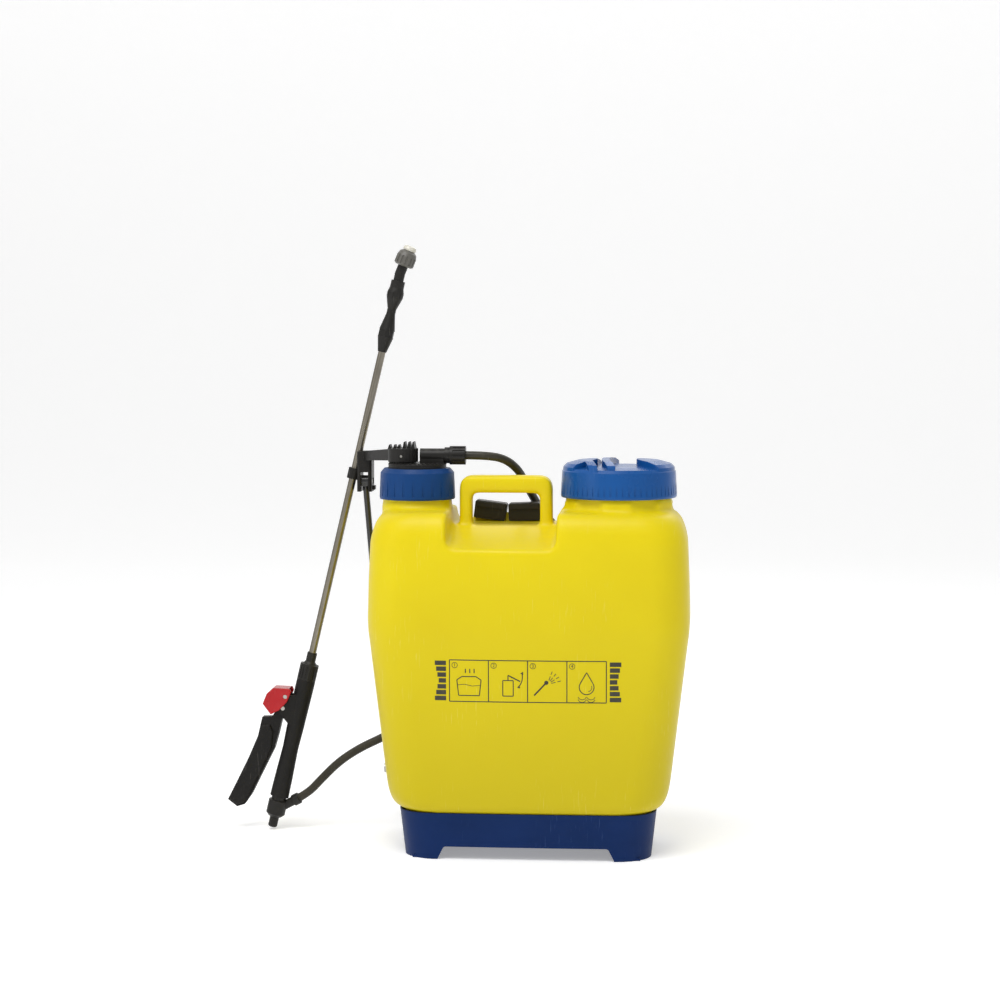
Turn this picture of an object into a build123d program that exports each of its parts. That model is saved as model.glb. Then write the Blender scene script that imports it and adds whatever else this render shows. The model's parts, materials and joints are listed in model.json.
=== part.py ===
from build123d import *
import os
from math import cos, sin, tan, radians, sqrt, atan2, degrees, pi

# Manual backpack sprayer, millimetres. Origin on the floor under the middle of the base.
# +X to the right seen from outside, +Y towards the wearer's back, +Z up.

# ---------------------------------------------------------------- driving dimensions
GAP = 0.3                              # between pieces that only lie against each other
RUN_FIT = 0.05                         # radial clearance of every running fit

# base
BASE_TOP = 54.0                        # rim of the base
BASE_HALF_TOP = 150.0                  # half width of the base at its rim
BASE_HALF_FOOT = 144.0                 # half width of the base at the floor
BASE_HALF_DEPTH = 82.0
BASE_CORNER = 42.0
BASE_WALL = 3.0
ARCH_HEIGHT = 15.0                     # arches under the front and the back
ARCH_HALF = 100.0
ARCH_SLANT = 8.0                       # how far each end of an arch leans
SIDE_ARCH_HEIGHT = 6.0
SIDE_ARCH_HALF = 30.0
TRAY = 3.0                             # floor that carries the tank
FOOT_THICK = 3.0
RIB_THICK = 2.0

# tank
TANK_BOTTOM = BASE_TOP - 6.0
TANK_TOP = 402.0                       # flat tops that carry the two necks
TANK_HALF = 187.5                      # half width at the widest level
TANK_FRONT = 92.0                      # from the origin to the front at the widest level
TANK_BACK = 85.0
TANK_CORNER = 46.0
TANK_BULGE = 11.0                      # the front face is convex by this much
TANK_HOLLOW = 5.0                      # the back face is concave by this much
TANK_WALL = 3.0
WIDEST_LEVEL = 268.0

# screws that hold the base to the tank
SCREW_R = 2.0
SCREW_HEAD_R = 4.5
SCREW_HEAD = 2.5
SCREW_DEPTH = 10.0
SCREW_PLACES = [(x, y) for x in (-88.0, 88.0) for y in (-48.0, 48.0)]

# necks and the channel between them
NECK_TOP = TANK_TOP + 39.0
NECK_WALL = 3.0
PUMP_X = -133.5                        # axis of the pump neck
PUMP_NECK_R = 40.5
FILL_X = 103.5                         # axis of the filling neck
FILL_NECK_R = 62.0
CHANNEL_FLOOR = TANK_TOP - 20.0
CHANNEL_LEFT = PUMP_X + 41.5
CHANNEL_RIGHT = FILL_X - 68.5
CHANNEL_SLOPE_START = -15.0
CHANNEL_FRONT_DROP = 19.0              # the channel floor falls this much towards the front edge
CHANNEL_FILLET = 9.0
RIDGE_Y = TANK_BACK - 18.0             # ridge on the channel floor that the strap hooks grip
RIDGE_THICK = 6.0
RIDGE_HEIGHT = 11.0

# carrying handle
HANDLE_X = (CHANNEL_LEFT + CHANNEL_RIGHT) / 2
HANDLE_WIDTH = CHANNEL_RIGHT - CHANNEL_LEFT - 2 * CHANNEL_FILLET
HANDLE_GAP = 80.0
HANDLE_TOP = CHANNEL_FLOOR + 59.0
HANDLE_BAR = 20.5
HANDLE_DEPTH = 28.0

# pump cap
CAP_CLEAR = 0.5
CAP_R = PUMP_NECK_R + 4.0
CAP_BOTTOM = NECK_TOP - 28.0
CAP_WALL = 3.0
CAP_HOLE_R = PUMP_NECK_R - 5.9
GASKET = 1.5
HEAD_FLANGE = 3.5
HEAD_DISC_R = CAP_HOLE_R - 0.6
HEAD_DISC_TOP = NECK_TOP + 14.5

# filling lid and strainer
LID_CLEAR = 3.4                        # room round the neck for its thread
LID_R = FILL_NECK_R + 6.0
LID_BOTTOM = NECK_TOP - 24.5
LID_SKIRT_TOP = NECK_TOP + 6.0
LID_TOP = NECK_TOP + 20.0
LID_GASKET = 2.0
STRAINER_R = FILL_NECK_R - 7.0
STRAINER_DEPTH = 54.0
STRAINER_WALL = 2.0
STRAINER_HOLE_R = 3.2

# pump inside the tank
ROD_X = PUMP_X - 17.5                  # axis of the plunger
ROD_R = 5.0
SEAL_R = 9.0
SEAL_THICK = 3.0
CYLINDER_R = 19.0
CYLINDER_WALL = 2.5
CYLINDER_BORE = CYLINDER_R - CYLINDER_WALL
CHAMBER_X = PUMP_X + 19.5
CHAMBER_R = 15.0
CHAMBER_WALL = 2.5
CYLINDER_FOOT = NECK_TOP - 205.0
FOOT_HEIGHT = 30.0
BALL_R = 6.0
BALL_SEAT = 4.5
INTAKE_SEAT = 8.0                      # heights of the two seats above the foot's underside
DELIVERY_SEAT = 18.0
PISTON_Z = CYLINDER_FOOT + 22.0
PISTON_CORE_R = 10.0
PISTON_LENGTH = 22.0
CUP_LENGTH = 6.5

# outlet
OUTLET_Z = NECK_TOP + 23.0
OUTLET_R = 8.0
OUTLET_END = CHAMBER_X + 19.0
NUT_R = 11.0
HOSE_R = 5.0
HOSE_START = OUTLET_END + 18.5
FLOW_PASSAGE_R = 2.5

# yoke on the plunger
HUB_R = 17.0
HUB_BOTTOM = HEAD_DISC_TOP + 0.7
HUB_TOP = HUB_BOTTOM + 15.8
CROSS_PIN_R = 1.6
CROSS_PIN_UP = 7.0                     # cross pin above the hub's underside
LEG_X = -206.0
LEG_WIDTH = 18.0
LEG_SLOT = 9.0
LEG_TOP = HUB_TOP - 8.0
LEG_FRONT = 69.0                       # the leg's face towards the lance
LEG_DEPTH = 27.0
LEG_BOTTOM = LEG_TOP - 48.5

# lever and link
LEVER_PIVOT_Y = BASE_HALF_DEPTH + 16.0
LEVER_PIVOT_Z = BASE_TOP + 36.0
SHAFT_R = 5.0
WASHER_R = 9.0
WASHER_THICK = 2.0
LEVER_HUB_R = 14.0
LEVER_X = -163.0
HUB_HALF = 9.0
CRANK_R = 60.0
CRANK_DROP = 25.0                      # degrees below the lever line
CRANK_THICK = 12.0
CRANK_PIN_R = 4.0
LINK_LOW_X = LEVER_X - 23.0
LINK_EYE = 8.0
LINK_ROD_R = 3.75
LINK_PIN_R = 3.0
LINK_TOP_Y = LEG_FRONT + 11.0
LINK_TOP_Z = LEG_BOTTOM + 12.5
LEVER_TUBE_R = 8.0
LEVER_TUBE_WALL = 1.2
LEVER_SOCKET = 18.0                    # from the pivot to the tube's end in its socket
LEVER_REACH = 345.0
GRIP_LENGTH = 105.0
GRIP_R = 14.0

# ears and lugs on the base
EAR_THICK = 8.0
EAR_PLACES = (LEVER_X + 11.0, LEVER_X + 47.0)
EAR_R = 14.0
EAR_FRONT = TANK_BACK + 2.0
LUG_BAR_Y = BASE_HALF_DEPTH + 10.0
LUG_BAR_Z = BASE_TOP - 16.0
LUG_BAR_R = 3.0
LUG_HALF = 12.0
LUG_CHEEK = 3.0

# lance
LANCE_POINT = (-220.0, 80.0, 437.0)    # where the clip holds the lance
LANCE_LEAN = 13.3                      # degrees from upright
LANCE_R = 4.5
LANCE_BORE = 3.6
LANCE_TOP = 164.0                      # along the lance, from the clip
LANCE_LOW = -250.0
NOZZLE_AT = 248.0
NOZZLE_TURN = 9.0                      # degrees that the stem bends outwards
STEM_R = 4.9
STEM_END = 25.0
JET_R = 1.5

# lance handle
HANDLE_R = 11.3
HANDLE_COLLAR = -239.5
HANDLE_BODY_TOP = -259.0
HANDLE_BODY_END = -407.0
FLOW_BORE = 4.0
FILTER_WALL = 0.85
TRIGGER_PIVOT = (-19.0, -299.0)
LOCK_PIVOT = (-19.0, -284.0)
PIN_R = 2.5
CHEEK_IN = 7.0
CHEEK_OUT = 10.0
VALVE_Z = -311.0
VALVE_PIN_R = 2.0
ELBOW_AT = -424.6
BARREL_R = 5.5
BARREL_RISE = 28.0                     # degrees
HOSE_EXIT = 27.0                       # from the elbow's centre to the hose

# straps
STRAP_LOW_X = 86.0
STRAP_WEB = 2.4
STRAP_WEB_WIDTH = 30.0
PAD_THICK = 11.0
PAD_WIDTH = 48.0
HOOK_Y0 = RIDGE_Y - 12.0
HOOK_Y1 = RIDGE_Y + 10.0
HOOK_HEIGHT = 21.5
HOOK_HALF = 19.0
HOOKS = {"left": (-53.5, 7.0, -1), "right": (-11.0, -2.0, 1)}   # middle, tilt and side of the lower lug
# side profiles as (distance behind the tank's back, height above the channel floor)
PAD_PATH = [(14, -40), (18, -65), (22, -105), (24.5, -150), (25, -195), (23.5, -238)]
TOP_WEB = [(HOOK_Y1 + 0.9 - TANK_BACK, 7.5), (2, 3.5), (8, -6), (13.9, -39.3)]
LOW_WEB = [(23.5, -238.8), (20.5, -275), (15.5, -310), (12, -327)]

# hose between its outlet and the lance's elbow
HOSE_POINTS = [
    (-31, 11, 459.5), (-17, 31, 446), (-11, 54, 430), (-4, 77, 413), (5, 94, 394.5), (23, 104, 372),
    (47, 107, 343), (78, 102, 306), (104, 98, 262), (119, 95, 214), (116, 95, 170), (90, 95, 138),
    (48, 95, 123), (2, 95, 120), (-43, 95, 120), (-88, 96, 127), (-130, 96, 133), (-162, 95, 127),
    (-188, 93, 112.5), (-215, 91, 100), (-241, 88, 83), (-262, 84.5, 62)]
HOSE_STRAIGHT = 25.0                   # first run, straight out of the outlet
HOSE_LAST_RUN = 18.0
SPLIT_AFTER = 15                       # the hose is divided in the middle of this run

# ---------------------------------------------------------------- helpers
NODES = {}
UPWARDS = (Align.CENTER, Align.CENTER, Align.MIN)


def keep(name, shape):
    """Store a finished piece under its node name."""
    NODES[name] = shape
    return shape


def tube(radius, low, high, bore=0.0, at=(0.0, 0.0)):
    """Upright cylinder from low to high, with an optional bore."""
    body = Pos(at[0], at[1], low) * Cylinder(radius, high - low, align=UPWARDS)
    if bore:
        body -= Pos(at[0], at[1], low - 1) * Cylinder(bore, high - low + 2, align=UPWARDS)
    return body


def rod_x(radius, x0, x1, y, z):
    """Cylinder along X."""
    return Pos(x0, y, z) * Rot(0, 90, 0) * Cylinder(radius, x1 - x0, align=UPWARDS)


def rod_y(radius, y0, y1, x, z):
    """Cylinder along Y."""
    return Pos(x, y0, z) * Rot(-90, 0, 0) * Cylinder(radius, y1 - y0, align=UPWARDS)


def block(x0, x1, y0, y1, z0, z1):
    """Box between two corners."""
    return Pos((x0 + x1) / 2, (y0 + y1) / 2, (z0 + z1) / 2) * Box(x1 - x0, y1 - y0, z1 - z0)


def turned(points):
    """Solid of revolution about Z from (radius, height) points."""
    outline = [(0, points[0][1])] + list(points) + [(0, points[-1][1])]
    face = make_face(Polyline([(r, 0, z) for r, z in outline], close=True))
    return revolve(face, axis=Axis.Z)


def softened(shape, radius, edges=None):
    """Round the given edges, or all of them."""
    return fillet(shape.edges() if edges is None else edges, radius)


def outline(z, half, front, back, corner, bulge, hollow):
    """Plan outline of the tank or base at one level: convex front, concave back, rounded corners."""
    with BuildSketch(Plane.XY.offset(z)) as level:
        with BuildLine():
            ThreePointArc((-half, -front + bulge), (0, -front), (half, -front + bulge))
            Line((half, -front + bulge), (half, back))
            ThreePointArc((half, back), (0, back - hollow), (-half, back))
            Line((-half, back), (-half, -front + bulge))
        make_face()
        fillet(level.vertices(), corner)
    return level.sketch


def band(points, thickness, width, at_x):
    """Strip with a curved side profile in the YZ plane and a constant width along X."""
    outer = []
    inner = []
    for i, (y, z) in enumerate(points):
        y0, z0 = points[max(i - 1, 0)]
        y1, z1 = points[min(i + 1, len(points) - 1)]
        run = sqrt((y1 - y0) ** 2 + (z1 - z0) ** 2)
        ny, nz = (z1 - z0) / run, -(y1 - y0) / run
        outer.append((y + ny * thickness / 2, z + nz * thickness / 2))
        inner.append((y - ny * thickness / 2, z - nz * thickness / 2))
    inner.reverse()
    with BuildSketch(Plane.YZ) as side:
        with BuildLine():
            Spline(*outer)
            Line(outer[-1], inner[0])
            Spline(*inner)
            Line(inner[-1], outer[0])
        make_face()
    return Pos(at_x, 0, 0) * extrude(side.sketch, width / 2, both=True)


# ---------------------------------------------------------------- tank
def tank_shell(inset):
    """Closed outer form of the tank, or its cavity when inset is the wall."""
    taper = (TANK_HALF - 166.0) / (WIDEST_LEVEL - 88.0)
    levels = [
        (TANK_BOTTOM, 139.0, 71.0, 68.0),
        (TANK_BOTTOM + 2.0, 144.0, 76.0, 73.0),
        (BASE_TOP + 0.2, BASE_HALF_TOP - BASE_WALL - GAP, BASE_HALF_DEPTH - BASE_WALL - GAP,
         BASE_HALF_DEPTH - BASE_WALL - GAP),
        (BASE_TOP + 1.6, BASE_HALF_TOP, BASE_HALF_DEPTH, 78.5),
        (BASE_TOP + 6.0, 156.5, 84.0, 80.0),
        (BASE_TOP + 13.0, 160.8, 85.2, 80.8),
        (BASE_TOP + 22.0, 163.8, 86.0, 81.2),
        (88.0, 166.0, 86.4, 81.5),
        (WIDEST_LEVEL - 16.0, TANK_HALF - 16.0 * taper, TANK_FRONT - 0.6, TANK_BACK - 0.4),
        (WIDEST_LEVEL - 6.0, TANK_HALF - 0.5, TANK_FRONT - 0.1, TANK_BACK - 0.1),
        (WIDEST_LEVEL + 8.0, TANK_HALF, TANK_FRONT, TANK_BACK),
        (WIDEST_LEVEL + 50.0, TANK_HALF - 1.1, TANK_FRONT - 0.4, TANK_BACK - 0.2),
        (TANK_TOP - 35.0, TANK_HALF - 3.2, TANK_FRONT - 2.0, TANK_BACK - 1.0),
    ]
    z0, half0, front0, back0 = levels[-1]
    shoulder = TANK_TOP - z0
    for step in (22, 42, 60, 75, 86):
        drop = 0.62 * shoulder * (1 - cos(radians(step)))
        levels.append((z0 + shoulder * sin(radians(step)), half0 - drop - 1.5, front0 - drop, back0 - drop))
    flat = 0.62 * shoulder
    levels.append((TANK_TOP, half0 - flat - 3.5, front0 - flat - 2, back0 - flat - 2))
    sections = []
    for z, half, front, back in levels:
        bulge = TANK_BULGE * min(1.0, max(0.25, (z - BASE_TOP) / 60.0))
        hollow = TANK_HOLLOW * min(1.0, max(0.1, (z - BASE_TOP) / 60.0))
        level = z
        if inset:
            level = max(z, TANK_BOTTOM + inset + 0.02 * (z - TANK_BOTTOM))
            level = min(level, TANK_TOP - inset - 0.02 * (TANK_TOP - z))
        corner = min(TANK_CORNER, half - 100.0)
        sections.append(outline(level, half - inset, front - inset, back - inset, corner - inset,
                                bulge, hollow))
    return loft(sections, ruled=True)


def channel(extra):
    """Space of the low channel across the tank's top, widened by extra."""
    floor = CHANNEL_FLOOR - extra
    reach = TANK_FRONT + 40.0
    slope = CHANNEL_FRONT_DROP / (TANK_FRONT - 12.0 + CHANNEL_SLOPE_START)
    front_floor = floor - slope * (reach + CHANNEL_SLOPE_START)
    with BuildSketch(Plane.YZ.offset(CHANNEL_LEFT - extra)) as side:
        with BuildLine():
            Polyline((-reach, front_floor), (CHANNEL_SLOPE_START, floor), (reach, floor),
                     (reach, HANDLE_TOP + 60), (-reach, HANDLE_TOP + 60), close=True)
        make_face()
    space = extrude(side.sketch, CHANNEL_RIGHT - CHANNEL_LEFT + 2 * extra)
    bottom = [e for e in space.edges() if abs(e.tangent_at(0.5).X) < 0.01 and e.center().Z < floor + 1]
    return softened(space, CHANNEL_FILLET, bottom)


def neck(radius, at_x, top):
    """Plain neck rising from the tank's top."""
    return tube(radius, TANK_TOP - 12, top, at=(at_x, 0))


def make_tank():
    body = tank_shell(0.0) - channel(0.0)
    cavity = tank_shell(TANK_WALL) - channel(TANK_WALL)
    for at_x, radius in ((PUMP_X, PUMP_NECK_R), (FILL_X, FILL_NECK_R)):
        body += neck(radius, at_x, NECK_TOP)
        for ring in range(2):
            z = NECK_TOP - 6 - 7 * ring
            body += tube(radius + CAP_CLEAR - 0.15, z - 1.2, z + 1.2, at=(at_x, 0))
        body += tube(radius + 1.2, TANK_TOP - 4, TANK_TOP + 4, at=(at_x, 0))
    for turn in range(6):
        lug = block(FILL_NECK_R - 2, FILL_NECK_R + 2.6, -17, 17, TANK_TOP + 5, TANK_TOP + 11)
        body += Pos(FILL_X, 0, 0) * Rot(0, 0, 30 + 60 * turn) * lug
    body -= cavity
    for at_x, radius in ((PUMP_X, PUMP_NECK_R), (FILL_X, FILL_NECK_R)):
        body -= tube(radius - NECK_WALL, TANK_TOP - 14, NECK_TOP + 1, at=(at_x, 0))
    body += block(HANDLE_X - 46, HANDLE_X + 44, RIDGE_Y - RIDGE_THICK / 2, RIDGE_Y + RIDGE_THICK / 2,
                  CHANNEL_FLOOR - TANK_WALL / 2, CHANNEL_FLOOR + RIDGE_HEIGHT)
    for x, y in SCREW_PLACES:
        body += tube(SCREW_R + 5, TANK_BOTTOM + TANK_WALL / 2, TANK_BOTTOM + 14, at=(x, y))
        body -= tube(SCREW_R, TANK_BOTTOM - 1, TANK_BOTTOM + SCREW_DEPTH, at=(x, y))
    return body


def make_carry_handle():
    """Loop that stands on the channel's floor; the fingers go under its bar."""
    half = HANDLE_WIDTH / 2
    loop = block(HANDLE_X - half, HANDLE_X + half, -HANDLE_DEPTH / 2, HANDLE_DEPTH / 2,
                 CHANNEL_FLOOR, HANDLE_TOP)
    loop = softened(loop, 14.0, loop.edges().filter_by(Axis.Y).group_by(Axis.Z)[-1])
    gap = block(HANDLE_X - HANDLE_GAP / 2, HANDLE_X + HANDLE_GAP / 2, -HANDLE_DEPTH, HANDLE_DEPTH,
                CHANNEL_FLOOR - 10, HANDLE_TOP - HANDLE_BAR)
    gap = softened(gap, 5.0, gap.edges().filter_by(Axis.Y).group_by(Axis.Z)[-1])
    loop -= gap
    sides = [e for e in loop.edges()
             if abs(abs(e.center().Y) - HANDLE_DEPTH / 2) < 0.1 and e.center().Z > CHANNEL_FLOOR + 4]
    return softened(loop, 3.5, sides)


# ---------------------------------------------------------------- base
def base_form(inset, low, high):
    """Solid between two levels of the base's outside, set in by inset."""
    grow = (BASE_HALF_TOP - BASE_HALF_FOOT) / BASE_TOP
    sections = []
    for z in (low, high):
        slack = grow * (BASE_TOP - z)
        sections.append(outline(z, BASE_HALF_TOP - slack - inset, BASE_HALF_DEPTH - slack * 0.4 - inset,
                                BASE_HALF_DEPTH - slack * 0.4 - inset, BASE_CORNER - inset, 3.0, 0.5))
    return loft(sections, ruled=True)


def make_base():
    body = base_form(0.0, 0.0, BASE_TOP)
    body -= base_form(BASE_WALL, -1.0, TANK_BOTTOM - TRAY)
    body -= base_form(BASE_WALL, TANK_BOTTOM, BASE_TOP + 1.0)
    low = ARCH_HALF + 3
    with BuildSketch(Plane.XZ.offset(-BASE_HALF_DEPTH - 20)) as front:
        with BuildLine():
            Polyline((-low, -1), (ARCH_SLANT - low, ARCH_HEIGHT), (low - ARCH_SLANT, ARCH_HEIGHT),
                     (low, -1), close=True)
        make_face()
    arch = extrude(front.sketch, 2 * BASE_HALF_DEPTH + 40)
    body -= softened(arch, 4.0, arch.edges().filter_by(Axis.Y).group_by(Axis.Z)[-1])
    side = block(-BASE_HALF_TOP - 20, BASE_HALF_TOP + 20, -SIDE_ARCH_HALF, SIDE_ARCH_HALF,
                 -5, SIDE_ARCH_HEIGHT)
    body -= softened(side, 5.0, side.edges().filter_by(Axis.X).group_by(Axis.Z)[-1])
    under_tray = TANK_BOTTOM - TRAY
    for sign_x in (-1, 1):
        for sign_y in (-1, 1):
            foot = block(ARCH_HALF + 12, BASE_HALF_FOOT - 12, 34, BASE_HALF_DEPTH - 12, 0, FOOT_THICK)
            body += mirror_to(foot, sign_x, sign_y)
            rib = block(ARCH_HALF + 4, ARCH_HALF + 4 + RIB_THICK, 30, BASE_HALF_DEPTH - 4,
                        FOOT_THICK, under_tray)
            body += mirror_to(rib, sign_x, sign_y)
            stem = block(BASE_HALF_FOOT - 14, BASE_HALF_FOOT - 4, 44, 44 + RIB_THICK, 0, under_tray)
            body += mirror_to(stem, sign_x, sign_y)
            floor_tie = block(ARCH_HALF + 4, ARCH_HALF + 14, 34, BASE_HALF_DEPTH - 5, 0, 4)
            body += mirror_to(floor_tie, sign_x, sign_y)
    for x in EAR_PLACES:
        ear = block(x, x + EAR_THICK, BASE_HALF_DEPTH - 4, LEVER_PIVOT_Y + EAR_R, 16, BASE_TOP - 4)
        ear += block(x, x + EAR_THICK, EAR_FRONT, LEVER_PIVOT_Y + EAR_R, 16, LEVER_PIVOT_Z)
        ear += rod_x(EAR_R, x, x + EAR_THICK, LEVER_PIVOT_Y, LEVER_PIVOT_Z)
        ear -= block(x - 1, x + EAR_THICK + 1, BASE_HALF_DEPTH - 8, EAR_FRONT, BASE_TOP - 4, BASE_TOP + 80)
        body += ear
    body += block(EAR_PLACES[0] + EAR_THICK, EAR_PLACES[1], EAR_FRONT, EAR_FRONT + 3, 24, LEVER_PIVOT_Z - 14)
    body -= rod_x(SHAFT_R, EAR_PLACES[0] - 1, EAR_PLACES[1] + EAR_THICK + 1, LEVER_PIVOT_Y, LEVER_PIVOT_Z)
    for sign in (-1, 1):
        centre = sign * STRAP_LOW_X
        for edge in (centre - LUG_HALF, centre + LUG_HALF - LUG_CHEEK):
            body += block(edge, edge + LUG_CHEEK, BASE_HALF_DEPTH - 3, LUG_BAR_Y + 5,
                          LUG_BAR_Z - 8, LUG_BAR_Z + 6)
        body += rod_x(LUG_BAR_R, centre - LUG_HALF, centre + LUG_HALF, LUG_BAR_Y, LUG_BAR_Z)
    for x, y in SCREW_PLACES:
        body -= tube(SCREW_R + 0.2, TANK_BOTTOM - TRAY - 1, TANK_BOTTOM + 1, at=(x, y))
    return body


def mirror_to(shape, sign_x, sign_y):
    """Copy a piece of the right rear corner to another corner."""
    if sign_x < 0:
        shape = mirror(shape, about=Plane.YZ)
    if sign_y < 0:
        shape = mirror(shape, about=Plane.XZ)
    return shape


def make_base_screws():
    low = TANK_BOTTOM - TRAY
    group = []
    for x, y in SCREW_PLACES:
        screw = tube(SCREW_HEAD_R, low - SCREW_HEAD, low, at=(x, y))
        screw += tube(SCREW_R, low - 0.5, TANK_BOTTOM + SCREW_DEPTH - 0.5, at=(x, y))
        screw -= block(x - 3, x + 3, y - 0.5, y + 0.5, low - SCREW_HEAD - 1, low - SCREW_HEAD + 1.2)
        screw -= block(x - 0.5, x + 0.5, y - 3, y + 3, low - SCREW_HEAD - 1, low - SCREW_HEAD + 1.2)
        group.append(screw)
    return Compound(children=group)


# ---------------------------------------------------------------- caps
def make_pump_cap():
    top = NECK_TOP + GASKET + HEAD_FLANGE + 0.1
    inner = PUMP_NECK_R + CAP_CLEAR
    cap = turned([(CAP_R - 0.6, CAP_BOTTOM), (CAP_R, CAP_BOTTOM + 2), (CAP_R - 1.2, top - 2),
                  (CAP_R - 5.5, top + CAP_WALL)])
    cap = Pos(PUMP_X, 0, 0) * cap
    cap -= tube(inner, CAP_BOTTOM - 1, top, at=(PUMP_X, 0))
    cap -= tube(CAP_HOLE_R, top - 1, top + CAP_WALL + 1, at=(PUMP_X, 0))
    for turn in range(24):
        groove = block(CAP_R - 0.9, CAP_R + 2, -1.1, 1.1, CAP_BOTTOM + 4, top - 5)
        cap -= Pos(PUMP_X, 0, 0) * Rot(0, 0, 15 * turn) * groove
    return cap


def lid_rib(x, curve, width, low, high):
    """Raised grip rib across the lid, bowed sideways and arched from front to back."""
    reach = LID_R - 6
    with BuildSketch(Plane.XY.offset(low)) as plan:
        with BuildLine():
            ThreePointArc((x, -reach), (x - curve, 0), (x, reach))
            Line((x, reach), (x + width, reach))
            ThreePointArc((x + width, reach), (x - curve + width, 0), (x + width, -reach))
            Line((x + width, -reach), (x, -reach))
        make_face()
    return extrude(plan.sketch, high - low)


def make_fill_lid():
    seat = NECK_TOP + STRAINER_WALL + LID_GASKET + 0.1
    skirt = turned([(LID_R - 0.8, LID_BOTTOM), (LID_R, LID_BOTTOM + 2), (LID_R - 1.5, LID_SKIRT_TOP),
                    (LID_R - 4.5, LID_SKIRT_TOP + 3.5), (LID_R - 22, LID_SKIRT_TOP + 5.5)])
    dome = turned([(LID_R - 2.0, LID_SKIRT_TOP - 3), (LID_R - 3.0, LID_SKIRT_TOP + 5),
                   (LID_R - 7, LID_TOP - 5), (LID_R - 20, LID_TOP - 1.5), (LID_R - 40, LID_TOP)])
    tall = 2 * LID_TOP
    raised = Pos(-LID_R * 0.98, 0, 0) * Cylinder(LID_R * 0.62, tall)
    raised += Pos(LID_R * 1.02, 0, 0) * Cylinder(LID_R * 0.72, tall)
    for x in (-31, -11):
        raised += lid_rib(x, 9, 9, LID_SKIRT_TOP - 3, LID_TOP + 10)
    lid = skirt + (dome & raised)
    lid -= tube(FILL_NECK_R + LID_CLEAR, LID_BOTTOM - 1, seat)
    for turn in range(60):
        groove = block(LID_R - 0.8, LID_R + 2, -0.8, 0.8, LID_BOTTOM + 4, LID_SKIRT_TOP - 3)
        lid -= Rot(0, 0, 6 * turn) * groove
    return Pos(FILL_X, 0, 0) * lid


def make_strainer():
    top = NECK_TOP + STRAINER_WALL
    cup = tube(FILL_NECK_R - 0.5, NECK_TOP, top) + tube(STRAINER_R, top - STRAINER_DEPTH, NECK_TOP + 0.5)
    cup -= tube(STRAINER_R - STRAINER_WALL, top - STRAINER_DEPTH + STRAINER_WALL, top + 1)
    for turn in range(12):
        slot = block(STRAINER_R - 5, STRAINER_R + 5, -5, 5, top - STRAINER_DEPTH + 8, NECK_TOP - 8)
        cup -= Rot(0, 0, 30 * turn) * slot
    for ring, count in ((14.0, 6), (28.0, 12), (42.0, 18)):
        for turn in range(count):
            angle = radians(360 * turn / count)
            cup -= tube(STRAINER_HOLE_R, top - STRAINER_DEPTH - 1, top - STRAINER_DEPTH + STRAINER_WALL + 1,
                        at=(ring * cos(angle), ring * sin(angle)))
    return Pos(FILL_X, 0, 0) * cup


def make_lid_gasket():
    low = NECK_TOP + STRAINER_WALL + 0.05
    return tube(FILL_NECK_R - 1, low, low + LID_GASKET, bore=STRAINER_R, at=(FILL_X, 0))


# ---------------------------------------------------------------- pump
def make_pump_head():
    low = NECK_TOP + GASKET
    head = tube(PUMP_NECK_R - 1, low, low + HEAD_FLANGE, at=(PUMP_X, 0))
    head += tube(HEAD_DISC_R, low, HEAD_DISC_TOP - 2.2, at=(PUMP_X, 0))
    head += tube(HEAD_DISC_R + 0.3, HEAD_DISC_TOP - 2.6, HEAD_DISC_TOP - 1.2, at=(PUMP_X, 0))
    for turn in range(36):
        rib = block(HEAD_DISC_R - 9, HEAD_DISC_R - 0.3, -0.6, 0.6, HEAD_DISC_TOP - 2.4, HEAD_DISC_TOP)
        head += Pos(PUMP_X, 0, 0) * Rot(0, 0, 10 * turn) * rib
    head += tube(HUB_R - 1, HEAD_DISC_TOP - 3, HEAD_DISC_TOP, at=(ROD_X, 0))
    head += block(CHAMBER_X - 16, OUTLET_END - 7, -7, 7, HEAD_DISC_TOP - 3, OUTLET_Z)
    head += rod_x(OUTLET_R, CHAMBER_X - 16, OUTLET_END - 6, 0, OUTLET_Z)
    head += rod_x(OUTLET_R + 1.5, OUTLET_END - 6, OUTLET_END, 0, OUTLET_Z)
    head += rod_x(HOSE_R, OUTLET_END - 1, HOSE_START, 0, OUTLET_Z)
    head -= rod_x(FLOW_PASSAGE_R, CHAMBER_X - 4, HOSE_START + 1, 0, OUTLET_Z)
    head -= tube(3.0, low - 1, OUTLET_Z, at=(CHAMBER_X, 0))
    head -= tube(ROD_R + RUN_FIT, low - 1, HEAD_DISC_TOP + 1, at=(ROD_X, 0))
    head -= tube(SEAL_R, low - 1, low + SEAL_THICK, at=(ROD_X, 0))
    return head


def make_pump_foot():
    low = CYLINDER_FOOT - FOOT_HEIGHT
    middle = (ROD_X + CHAMBER_X) / 2
    with BuildSketch(Plane.XY.offset(low)) as plan:
        with Locations((middle, 0)):
            SlotCenterToCenter(CHAMBER_X - ROD_X, 2 * (CYLINDER_R - 0.5))
    foot = extrude(plan.sketch, FOOT_HEIGHT)
    foot -= tube(BALL_SEAT, low - 1, CYLINDER_FOOT + 1, at=(ROD_X, 0))
    foot -= tube(BALL_R + 1.0, low + INTAKE_SEAT, CYLINDER_FOOT + 1, at=(ROD_X, 0))
    foot -= rod_x(3.5, ROD_X, CHAMBER_X, 0, low + 13)
    foot -= tube(BALL_SEAT, low + 13, CYLINDER_FOOT + 1, at=(CHAMBER_X, 0))
    foot -= tube(BALL_R + 1.0, low + DELIVERY_SEAT, CYLINDER_FOOT + 1, at=(CHAMBER_X, 0))
    return foot


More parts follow.
